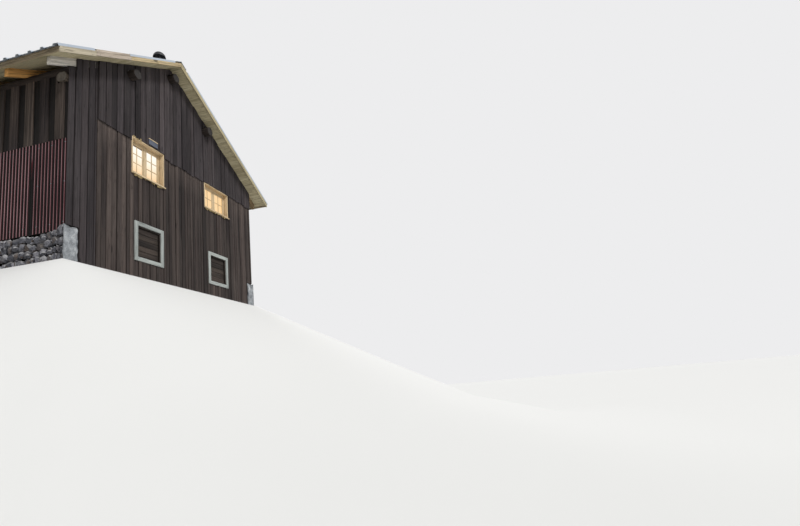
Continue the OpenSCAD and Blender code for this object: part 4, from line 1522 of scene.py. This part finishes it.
# Which slope a trim lies on, where it starts and stops from the ridge, and at which gable
trim_runs = [
    (-1, trim_start, 1.596, -1),
    (-1, 2.480, 3.25, -1),
    (1, trim_start, 4.02, -1),
    (-1, trim_start, 3.25, 1),
    (1, trim_start, 4.02, 1),
]
lay_cap = Matrix(((0, 1, 0, ridge_at), (1, 0, 0, 0), (0, 0, 1, 0), (0, 0, 0, 1)))
caps = []
place = -cap_end
while place < cap_end - 0.1:
    stop = min(place + cap_length, cap_end)
    length = fold_sheet("cap", place, stop, cap_bends, cap_cuts)
    move_mesh(length, Matrix.Translation((0, 0, metal_lap * (len(caps) % 2))) @ lay_cap)
    caps.append(length)
    place += cap_length - cap_lap
cap = join("ridge_cap_lengths", caps)
smooth_under(cap_smooth)
put(cap, "ridge_cap", roof_paint)
trims = []
for side, start, stop, end in trim_runs:
    bends = [
        (end * trim_inner, trim_inner_level),
        (end * trim_inner, cap_level),
        (end * trim_outer, cap_level),
        (end * trim_outer, trim_foot + trim_turn_up),
        (end * (trim_outer - trim_turn_in), trim_foot),
    ]
    trim = fold_sheet("trim", start / math.cos(pitch), stop / math.cos(pitch), bends, trim_cuts)
    plumb_cut(trim, start, -1)
    if end < 0:
        trim.data.flip_normals()
    trims.append(onto_slope(trim, side))
put(join("verge_trim_angles", trims), "verge_trims", roof_paint)
screws = []
for side, hand, run in slopes:
    for rib in range(0, rib_spaces + 1, 2):
        place = (cap_screw_down, rib_first + rib * rib_step, cap_level + cap_screw_rise)
        screws.append(copy_of(screw, "screw", slope_seat(side) @ Matrix.Translation(place)))
put(join("ridge_screws", screws), None, screw_steel)


# Bargeboards and fascias
# Spruce boards on edge along the verges. The front left verge has been mended: a bleached grey-yellow
# end, a redder middle board that stands higher, and an upper one. The eaves have narrower boards.
verge_out = 4.340
verge_edge = 0.003
verge_nail_step = 0.62
verge_nail_in = 0.09
verge_nail_levels = (0.025, -0.028)
# Which slope, start and stop from the ridge, which gable, lower and upper edge, and look
verge_boards = [
    (-1, 0.004, 1.596, -1, -0.008, 0.086, "upper"),
    (-1, 1.600, 2.476, -1, -0.008, 0.112, "middle"),
    (-1, 2.480, 3.250, -1, -0.024, 0.086, "end"),
    (1, 0.004, 4.020, -1, -0.024, 0.086, "right"),
    (-1, 0.004, 3.250, 1, -0.024, 0.086, "back"),
    (1, 0.004, 4.020, 1, -0.024, 0.086, "back"),
]
verge_looks = {
    "upper": (["#b7a47f", "#bfad8a"], "#978565", 0.7),
    "middle": (["#b7a999", "#c0b3a4"], "#968979", 0.85),
    "end": (["#bdb29b", "#c4baa5"], "#a69b84", 0.4),
    "right": (["#b5a989", "#beb394"], "#9d9172", 0.4),
    "back": (["#a08a68", "#a99372"], "#84704f", 0.5),
}
fascia_joints = [-verge_in, -1.62, 1.31, verge_in]
fascia_gap = 0.001
fascia_levels = [(-0.012, 0.033), (0.038, 0.086)]


def slope_board(name, run, across, level):
    """A board along a slope between two level distances from the ridge, with plumb ends."""
    low = (run[0] / math.cos(pitch) - 0.1, across[0], level[0])
    high = (run[1] / math.cos(pitch) + 0.1, across[1], level[1])
    made = add_block(name, low, high)
    plumb_cut(made, run[0], -1)
    plumb_cut(made, run[1], 1)
    return made


# Sawn spruce in five ages: dull and knotty, and faded to a tone of its own on each board
verge_nails = []
for side, start, stop, end, foot, head, look in verge_boards:
    across = sorted((end * (verge_out - board_thick), end * verge_out))
    board = slope_board("bargeboard_" + look, (start, stop), across, (foot, head))
    soften(board, verge_edge)
    onto_slope(board, side)
    tones, worn, knots = verge_looks[look]
    name = "spruce_bargeboard_" + look
    looks = {"wear": 0.6, "streak": 0.28, "knots": knots, "lots": False}
    wood = wood_finish(name, tones, worn, turn=rafter_turn(side), **looks)
    put(board, "front_bargeboards" if end < 0 else "back_bargeboards", wood)
    spots = max(2, round((stop - start) / verge_nail_step))
    turn = Matrix.Rotation(-end * quarter, 4, "X")
    for number in range(spots):
        down = start + verge_nail_in + (stop - start - 2 * verge_nail_in) * number / (spots - 1)
        for level in (foot + verge_nail_levels[0], head + verge_nail_levels[1]):
            at = Matrix.Translation((down / math.cos(pitch), end * verge_out, level)) @ turn
            verge_nails.append(copy_of(nail, "nail", slope_seat(side) @ at))
put(join("bargeboard_nails", verge_nails), None, nail_iron)
bpy.data.objects.remove(nail)
fascia_wood = wood_finish(
    "spruce_fascia_weathered",
    ["#85765f", "#918269", "#7b6c57"],
    "#a2967f",
    wear=0.5,
    streak=0.3,
    turn=flat_along_y,
)
fascias = []
for side, hand, run in slopes:
    for start, stop in zip(fascia_joints, fascia_joints[1:]):
        for level in fascia_levels:
            ends = (start + fascia_gap, stop - fascia_gap)
            board = slope_board("fascia", (run - board_thick, run), ends, level)
            fascias.append(onto_slope(board, side))
fascia = join("eave_fascia_boards", fascias)
soften(fascia, verge_edge)
put(fascia, "eave_fascias", fascia_wood)


# Windows
# New pine windows deep in board linings: a frame with a middle post and two sashes with glazing bars, and a
# sill board that stands out below. The panes glow with the painted light of a lit room and light the
# linings.
lining_thick = 0.026
lining_depth = (-4.008, -3.834)
frame_wide = 0.034
frame_depth = (-3.900, -3.858)
sash_wide = 0.046
sash_depth = (-3.896, -3.858)
sash_gap = 0.0015
sash_edge = 0.004
bar_wide = 0.018
upright_bar_depth = (-3.894, -3.864)
level_bar_depth = (-3.892, -3.866)
pane_rows = [3, 2]
sill_past = 0.022
sill_thick = 0.024
sill_depth = (-4.038, -4.0)
sill_edge = 0.004


def board_ring(box, wide, depth, gap=0.0):
    """Four boards round an opening: two upright ones, and two level ones between them."""
    front, back = depth
    x0, z0, x1, z1 = shrink(box, gap)
    upright_ones = [
        add_block("stile", (x0, front, z0), (x0 + wide, back, z1)),
        add_block("stile", (x1 - wide, front, z0), (x1, back, z1)),
    ]
    level_ones = [
        add_block("rail", (x0 + wide, front, z0), (x1 - wide, back, z0 + wide)),
        add_block("rail", (x0 + wide, front, z1 - wide), (x1 - wide, back, z1)),
    ]
    return upright_ones, level_ones


def shrink(box, by):
    """A smaller opening inside another."""
    return (box[0] + by, box[1] + by, box[2] - by, box[3] - by)


def put_both(piece, back_name, nodes, finish):
    """Copies a piece of the front gable to the back one, and puts both."""
    back = copy_of(piece, back_name, to_back)
    put(piece, nodes[0], finish)
    put(back, nodes[1], finish)


def fix_boards(name, rings, node, finishes, width=0.003):
    """Joins the upright and the level boards, rounds their edges and puts them at both gables."""
    for kind, parts, finish in zip(("upright", "level"), rings, finishes):
        boards = join(name + "_" + kind, parts)
        soften(boards, width)
        put_both(boards, name + "_back_" + kind, ("front_" + node, "back_" + node), finish)


def upright_and_level(name, turn_level, *look, **more):
    """One wood twice: with its grain upright, and with its grain level."""
    upright = wood_finish(name + "_upright", *look, **more)
    return upright, wood_finish(name + "_level", *look, turn=turn_level, **more)


# Pine, oiled and still yellow, with fine grain; the linings are rougher sawn boards of the same wood
pine_tones = ["#cdb692", "#d5c09e", "#c4ab84"]
pine = upright_and_level(
    "pine_planed", flat_along_x, pine_tones, "#bba17a", streak=0.14, knots=0.3, roughness=0.55
)
linings = ([], [])
frames = ([], [])
sashes = ([], [])
for window, rows in zip(window_boxes, pane_rows):
    inside = shrink(window, lining_thick)
    for parts, ring in (
        (linings, board_ring(window, lining_thick, lining_depth)),
        (frames, board_ring(inside, frame_wide, frame_depth)),
    ):
        parts[0].extend(ring[0])
        parts[1].extend(ring[1])
    left, foot, right, head = shrink(window, lining_thick + frame_wide)
    post_left = (left + right) / 2 - frame_wide / 2
    post_right = (left + right) / 2 + frame_wide / 2
    post_low = (post_left, frame_depth[0], foot)
    frames[0].append(add_block("post", post_low, (post_right, frame_depth[1], head)))
    for box in ((left, foot, post_left, head), (post_right, foot, right, head)):
        ring = board_ring(box, sash_wide, sash_depth, sash_gap)
        sashes[0].extend(ring[0])
        sashes[1].extend(ring[1])
        x0, z0, x1, z1 = shrink(box, sash_wide)
        x = (x0 + x1) / 2
        half_bar = bar_wide / 2
        front, back = upright_bar_depth
        sashes[0].append(add_block("bar", (x - half_bar, front, z0), (x + half_bar, back, z1)))
        front, back = level_bar_depth
        for row in range(1, rows):
            z = z0 + (z1 - z0) * row / rows
            sashes[1].append(add_block("bar", (x0, front, z - half_bar), (x1, back, z + half_bar)))
fix_boards("window_lining", linings, "window_linings", pine)
fix_boards("window_frame", frames, "window_frames", pine)
fix_boards("window_sash", sashes, "window_sashes", pine, width=sash_edge)
sills = []
for x0, z0, x1, z1 in window_boxes:
    low = (x0 - sill_past, sill_depth[0], z0 - sill_thick)
    sills.append(add_block("sill", low, (x1 + sill_past, sill_depth[1], z0)))
sill = join("window_sill_boards", sills)
soften(sill, sill_edge)
sill_nodes = ("window_sills", "window_sills")
put_both(sill, "window_sill_boards_back", sill_nodes, pine[1])

# Sealing foam, yellow and ragged, pressed out under both sills and over the left ends of the windows;
# only the front shows it
foam_lumps = 19
lumps_below = 15
lump_sizes = (0.010, 0.024)
lump_place = -4.006
lump_shape = (1.5, 0.7, 1.3, 1)
lump_rough = 0.7
foam_in = 0.02
foam_over = 0.3
foam_up = 0.4
foam_down = 0.6
foam = grainy_finish(
    "sealing_foam_aged",
    [(0.3, "#7d6a45"), (0.7, "#b39f74")],
    stain=(120.0, 4.0, 0.5),
    grain=(120.0, 4.0, 0.5),
    relief=(0.8, 0.003),
    roughness=0.9,
)
foam_chance = random.Random(4)
lumps = []
for x0, z0, x1, z1 in window_boxes:
    for number in range(foam_lumps):
        size = foam_chance.uniform(*lump_sizes)
        below = number < lumps_below
        reach = 1.0 if below else foam_over
        x = foam_chance.uniform(x0 + foam_in, x0 + reach * (x1 - x0) - foam_in)
        z = z0 - sill_thick - size * foam_down if below else z1 + size * foam_up
        lump = add_shape("ico_sphere", subdivisions=2, radius=size)
        for corner in lump.data.vertices:
            spot = corner.co / size + Vector((number, x, 0))
            corner.co += size * lump_rough * noise.noise_vector(spot)
        seat = Matrix.Translation((x, lump_place, z)) @ Matrix.Diagonal(lump_shape)
        lump.data.transform(seat)
        lumps.append(lump)
lumps = join("sealing_foam_lumps", lumps)
bpy.ops.object.shade_smooth()
put(lumps, None, foam)

# Panes: window glass over a lit room, its light painted on them as their own glow. The left window is
# nearly white and warmer below, with a brown blind painted at the top of its left sash; the right one is
# cream with the painted light and shade of the upright folds of a curtain behind it. They shine by
# themselves.
pane_levels = (2.4, 3.06)
fold_turns = 95.0
blind_from = -1.12
blind_foot = 3.008
pane, tree, shader = start_finish("window_glass_painted_glow", roughness=0.08)
spot = add_node(tree, "TexCoord", out="Object")
x_place = add_node(tree, "SeparateXYZ", [spot], out="X")
z_place = add_node(tree, "SeparateXYZ", [spot], out="Z")
levels = {"Value": z_place, "From Min": pane_levels[0], "From Max": pane_levels[1]}
high_up = add_node(tree, "MapRange", levels)
warm_tones = [(0.0, "#f9cf9c"), (0.3, "#fde3bf"), (0.6, "#fff5e2"), (0.9, "#fffaf0")]
warm = add_node(tree, "ValToRGB", [high_up], stops=warm_tones)
# Painted light and shade of the curtain's folds, in upright bands on the right pane
folds = add_node(tree, "Math", [x_place, fold_turns], operation="MULTIPLY")
fold = add_node(tree, "Math", [folds], operation="SINE")
drift = add_node(tree, "TexNoise", {"Vector": spot, "Scale": 9.0, "Detail": 3.0})
mixed_fold = add_node(tree, "Math", [fold, drift], operation="MULTIPLY")
curtain = add_node(tree, "ValToRGB", [mixed_fold], stops=[(0.0, "#f4c98f"), (0.5, "#fbdcaa")])
which = add_node(tree, "Math", [x_place, 0.0], operation="GREATER_THAN")
glow_tone = add_node(tree, "Mix", [which, warm, curtain], data_type="RGBA")
left_sash = add_node(tree, "Math", [x_place, blind_from], operation="LESS_THAN")
top_row = add_node(tree, "Math", [z_place, blind_foot], operation="GREATER_THAN")
blind = add_node(tree, "Math", [left_sash, top_row], operation="MULTIPLY")
glow_tone = add_node(tree, "Mix", [blind, glow_tone, paint("#5a4630")], data_type="RGBA")
shader.inputs["Base Color"].default_value = paint("#2a2620")
tree.links.new(glow_tone, shader.inputs["Emission Color"])
shader.inputs["Emission Strength"].default_value = 1.0
refinish(("front_window_glass", "back_window_glass"), pane)


# Hatches
# Two hatches low in each gable, framed with boards that were once painted grey-green, with bare laths
# inside them, and closed from inside with level boards. Narrow gaps are left between those.
hatch_board = 0.085
hatch_depth = (-4.014, -3.974)
hatch_edge = 0.004
stop_lath = 0.027
lath_depth = (-3.988, -3.974)
lath_edge = 0.002
shutter_boards = 5
shutter_depth = (-3.948, -3.922)
shutter_step = 0.003
shutter_gap = (0.004, 0.003)
shutter_edge = 0.003
hatch_nodes = ("front_hatch_frames", "back_hatch_frames")

# Flaking paint over grey wood on the frames, and bare brown-black boards on the shutters
painted_tones = ["#a3a8a5", "#adb2ae"]
painted = upright_and_level(
    "hatch_boards_grey_green", flat_along_x, painted_tones, "#858a87", wear=0.5, streak=0.12, knots=0.2
)
shutter_wood = wood_finish(
    "shutter_boards_sawn",
    ["#241f1d", "#332c29", "#1f1b1a", "#453c37", "#2a2522"],
    "#584e46",
    streak=0.4,
    turn=flat_along_x,
)
rings = ([], [])
laths = []
closed = []
for hatch in hatch_boxes:
    ring = board_ring(hatch, hatch_board, hatch_depth)
    rings[0].extend(ring[0])
    rings[1].extend(ring[1])
    ring = board_ring(shrink(hatch, hatch_board), stop_lath, lath_depth)
    laths.extend(ring[0] + ring[1])
    x0, z0, x1, z1 = shrink(hatch, hatch_board + stop_lath)
    front, back = shutter_depth
    board_high = (z1 - z0) / shutter_boards
    for row in range(shutter_boards):
        low = (x0, front + shutter_step * (row % 2), z0 + row * board_high + shutter_gap[0])
        high = (x1, back, z0 + (row + 1) * board_high - shutter_gap[1])
        closed.append(add_block("shutter", low, high))
fix_boards("hatch_frame", rings, "hatch_frames", painted, width=hatch_edge)
lath = join("hatch_stop_laths", laths)
soften(lath, lath_edge)
put_both(lath, "hatch_stop_laths_back", hatch_nodes, shutter_wood)
shutter = join("hatch_shutter_boards", closed)
soften(shutter, shutter_edge)
shutter_nodes = ("hatch_shutters", "hatch_shutters")
put_both(shutter, "hatch_shutter_boards_back", shutter_nodes, shutter_wood)


# Bank door
# A low plank door in the right wall at the level of the upper floor, guessed because the photo doesn't
# show that side. Five planks in a heavy frame.
door_frame_depth = (2.943, 3.145)
door_post = 0.05
door_post_edge = 0.005
leaf_depth = (3.043, 3.083)
leaf_gap = 0.004
leaf_edge = 0.004
door_planks = 5
door_plank_gap = 0.003
door_wood = wood_finish("spruce_door_frame_sawn", ["#54463a", "#5f5042"], "#6c5f50", lots=False)
leaf_wood = wood_finish("spruce_door_planks_sawn", ["#453930", "#54463a", "#3c322b"], "#655848")
posts = []
inner, outer = door_frame_depth
for y in (door_span[0], door_span[1] - door_post):
    posts.append(add_block("post", (inner, y, door_foot), (outer, y + door_post, door_head)))
door_start = door_span[0] + door_post
door_stop = door_span[1] - door_post
for z in (door_foot, door_head - door_post):
    posts.append(add_block("post", (inner, door_start, z), (outer, door_stop, z + door_post)))
door_frame = join("door_frame_posts", posts)
soften(door_frame, door_post_edge)
put(door_frame, "door_frame", door_wood)
planks = []
wide = (door_span[1] - door_span[0] - 2 * door_post) / door_planks
for number in range(door_planks):
    y = door_span[0] + door_post + number * wide
    low = (leaf_depth[0], y + door_plank_gap, door_foot + door_post + leaf_gap)
    high = (leaf_depth[1], y + wide - door_plank_gap, door_head - door_post - leaf_gap)
    planks.append(add_block("plank", low, high))
leaf = join("door_leaf_planks", planks)
soften(leaf, leaf_edge)
put(leaf, "door_leaf", leaf_wood)


# Plate
# A small enamelled plate over the left window, bare on its face, with a pressed rim. A pine lath along
# its top keeps the drip off it.
plate_low = Vector((-1.135, -4.038, 3.172))
plate_high = Vector((-0.865, -4.026, 3.292))
plate_corner = 0.014
plate_edge = 0.0015
rim_wide = 0.008
rim_slope = 0.003
rim_deep = 0.004
drip_past = 0.004
drip_out = 0.006
drip_high = 0.018
drip_edge = 0.002

# Enamel: grey-blue and glossy, faded in patches, with spots of dirt
enamel = steel_finish("enamel_grey_blue", "#454b5a", "#575e6d", "#34373f", roughness=0.35)
plate = add_block("gable_plate_sheet", plate_low, plate_high)
bpy.ops.object.mode_set(mode="EDIT")
pick(plate, "EDGE", lambda e: abs(e.verts[0].co.y - e.verts[1].co.y) > 0.005)
bpy.ops.mesh.bevel(offset=plate_corner, segments=5)
pick(plate, "FACE", lambda f: f.normal.y < -0.9)
bpy.ops.mesh.inset(thickness=rim_wide)
bpy.ops.mesh.inset(thickness=rim_slope, depth=-rim_deep)
bpy.ops.object.mode_set(mode="OBJECT")
soften(plate, plate_edge)
put(plate, "gable_plate", enamel)
low = (plate_low.x - drip_past, plate_low.y - drip_out, plate_high.z)
high = (plate_high.x + drip_past, plate_high.y, plate_high.z + drip_high)
drip_lath = add_block("plate_drip_lath", low, high)
soften(drip_lath, drip_edge)
put(drip_lath, None, pine[1])


# Chimney
# A square stack plastered with cement, with a sheet-metal collar where it comes through the roof. On it
# stands a short black pipe with a flange, and over the pipe's mouth a pressed dome on four straps.
stack_middle = (0.035, -3.36)
stack_half = 0.18
stack_foot = 1.5
stack_top = 6.067
stack_edge = 0.008
flue_half = 0.1
flue_foot = 1.7
flue_top = 7
collar_inner = 0.183
collar_wide = 0.13
collar_up = 0.12
collar_off = 0.003
collar_thick = 0.001
pipe_radius = 0.090
pipe_top = 6.237
pipe_sides = 40
flange_radius = 0.130
flange_off = 0.002
dome_radius = 0.155
dome_foot = 6.292
dome_high = 0.150
dome_rings = 20
dome_rim = 0.004
dome_roll = 0.003
dome_flare = 1.02
cowl_sheet = 0.003
cowl_smooth = 35
strap_half = 0.012
strap_foot = 6.197
strap_top = 6.411
strap_depth = (-0.001, 0.002)
strap_bolts = (0.012, 0.028)
strap_bolt_out = 0.003
flange_bolt_out = 0.022
flange_bolt_up = 0.004


def square(middle, half, foot, top):
    """The two corners of an upright block on a square base."""
    low = (middle[0] - half, middle[1] - half, foot)
    return low, (middle[0] + half, middle[1] + half, top)


# Cement render: grey, grainy, sooty in patches
cement = grainy_finish(
    "cement_render_sooty",
    [(0.35, "#5b5955"), (0.65, "#8a8882")],
    stain=(4.0, 6.0, 0.5),
    grain=(90.0, 4.0, 0.5),
    relief=(0.9, 0.005),
    roughness=0.93,
)
stack = add_block("chimney_stack_render", *square(stack_middle, stack_half, stack_foot, stack_top))
cut_out(stack, [add_block("cutter", *square(stack_middle, flue_half, flue_foot, flue_top))])
soften(stack, stack_edge, 3)
put(stack, "chimney_stack", cement)

collar = add_shape("plane", size=2 * (collar_inner + collar_wide), location=(*stack_middle, 0))
bpy.ops.object.mode_set(mode="EDIT")
bpy.ops.mesh.select_all(action="SELECT")
bpy.ops.mesh.inset(thickness=collar_wide)
bpy.ops.mesh.delete(type="ONLY_FACE")
within = collar_inner + 0.01
pick(collar, "EDGE", lambda e: all(max(abs(v.co.x), abs(v.co.y)) < within for v in e.verts))
bpy.ops.mesh.extrude_edges_move(TRANSFORM_OT_translate={"value": (0, 0, collar_up)})
bpy.ops.object.mode_set(mode="OBJECT")
settle()
for corner in collar.data.vertices:
    corner.co.z += cap_top + collar_off - slope_rise * (corner.co.x - ridge_at)
apply_change(collar, "SOLIDIFY", thickness=collar_thick, offset=0)
collar.name = "chimney_collar"
put(collar, None, roof_paint)

# Black-painted sheet, sooty and dull, with small spots of rust
cowl_paint = steel_finish(
    "cowl_paint_black_sooty", "#191a1c", "#26272a", "#3a2c25", wear=0.6, run=(6, 6, 6)
)
dome = add_shape("uv_sphere", segments=pipe_sides, ring_count=dome_rings, radius=1)
half_sheet = cowl_sheet / 2
dome.scale = (dome_radius - half_sheet, dome_radius - half_sheet, dome_high - half_sheet)
settle()
bpy.ops.object.mode_set(mode="EDIT")
bpy.ops.mesh.select_all(action="SELECT")
bpy.ops.mesh.bisect(plane_co=(0, 0, dome_rim), plane_no=(0, 0, 1), clear_inner=True)
pick(dome, "EDGE", lambda e: e.is_boundary)
for step in (-dome_rim, dome_roll):
    bpy.ops.mesh.extrude_edges_move(TRANSFORM_OT_translate={"value": (0, 0, step)})
bpy.ops.transform.resize(value=(dome_flare, dome_flare, 1))
bpy.ops.object.mode_set(mode="OBJECT")
apply_change(dome, "SOLIDIFY", thickness=cowl_sheet, offset=0)
dome.data.transform(Matrix.Translation((*stack_middle, dome_foot)))
tube = {"vertices": pipe_sides, "radius": pipe_radius - half_sheet, "depth": pipe_top - stack_top}
place = (*stack_middle, (pipe_top + stack_top) / 2)
pipe = add_shape("cylinder", **tube, end_fill_type="NOTHING", location=place)
settle()
bpy.ops.object.mode_set(mode="EDIT")
pick(pipe, "EDGE", lambda e: e.is_boundary and e.verts[0].co.z < stack_top + 0.001)
out = flange_radius / pipe_radius
bpy.ops.mesh.extrude_edges_move(TRANSFORM_OT_translate={"value": (0, 0, 0)})
bpy.ops.transform.resize(value=(out, out, 1), center_override=(*stack_middle, stack_top + flange_off))
bpy.ops.object.mode_set(mode="OBJECT")
apply_change(pipe, "SOLIDIFY", thickness=cowl_sheet, offset=0)
pipe.data.transform(Matrix.Translation((0, 0, half_sheet)))
cowl = [dome, pipe]
for number in range(4):
    turn = Matrix.Translation((*stack_middle, 0)) @ Matrix.Rotation((number + 0.5) * quarter, 4, "Z")
    low = (pipe_radius + strap_depth[0], -strap_half, strap_foot)
    strap = add_block("strap", low, (pipe_radius + strap_depth[1], strap_half, strap_top))
    strap.data.transform(turn)
    cowl.append(strap)
    for up in strap_bolts:
        place = Matrix.Translation((pipe_radius + strap_bolt_out, 0, strap_foot + up))
        cowl.append(copy_of(screw, "bolt", turn @ place @ Matrix.Rotation(quarter, 4, "Y")))
    place = Matrix.Translation((pipe_radius + flange_bolt_out, 0, stack_top + flange_bolt_up))
    cowl.append(copy_of(screw, "bolt", turn @ place))
cowl = join("chimney_pipe_and_cowl", cowl)
smooth_under(cowl_smooth)
put(cowl, "chimney_hood", cowl_paint)
bpy.data.objects.remove(screw)
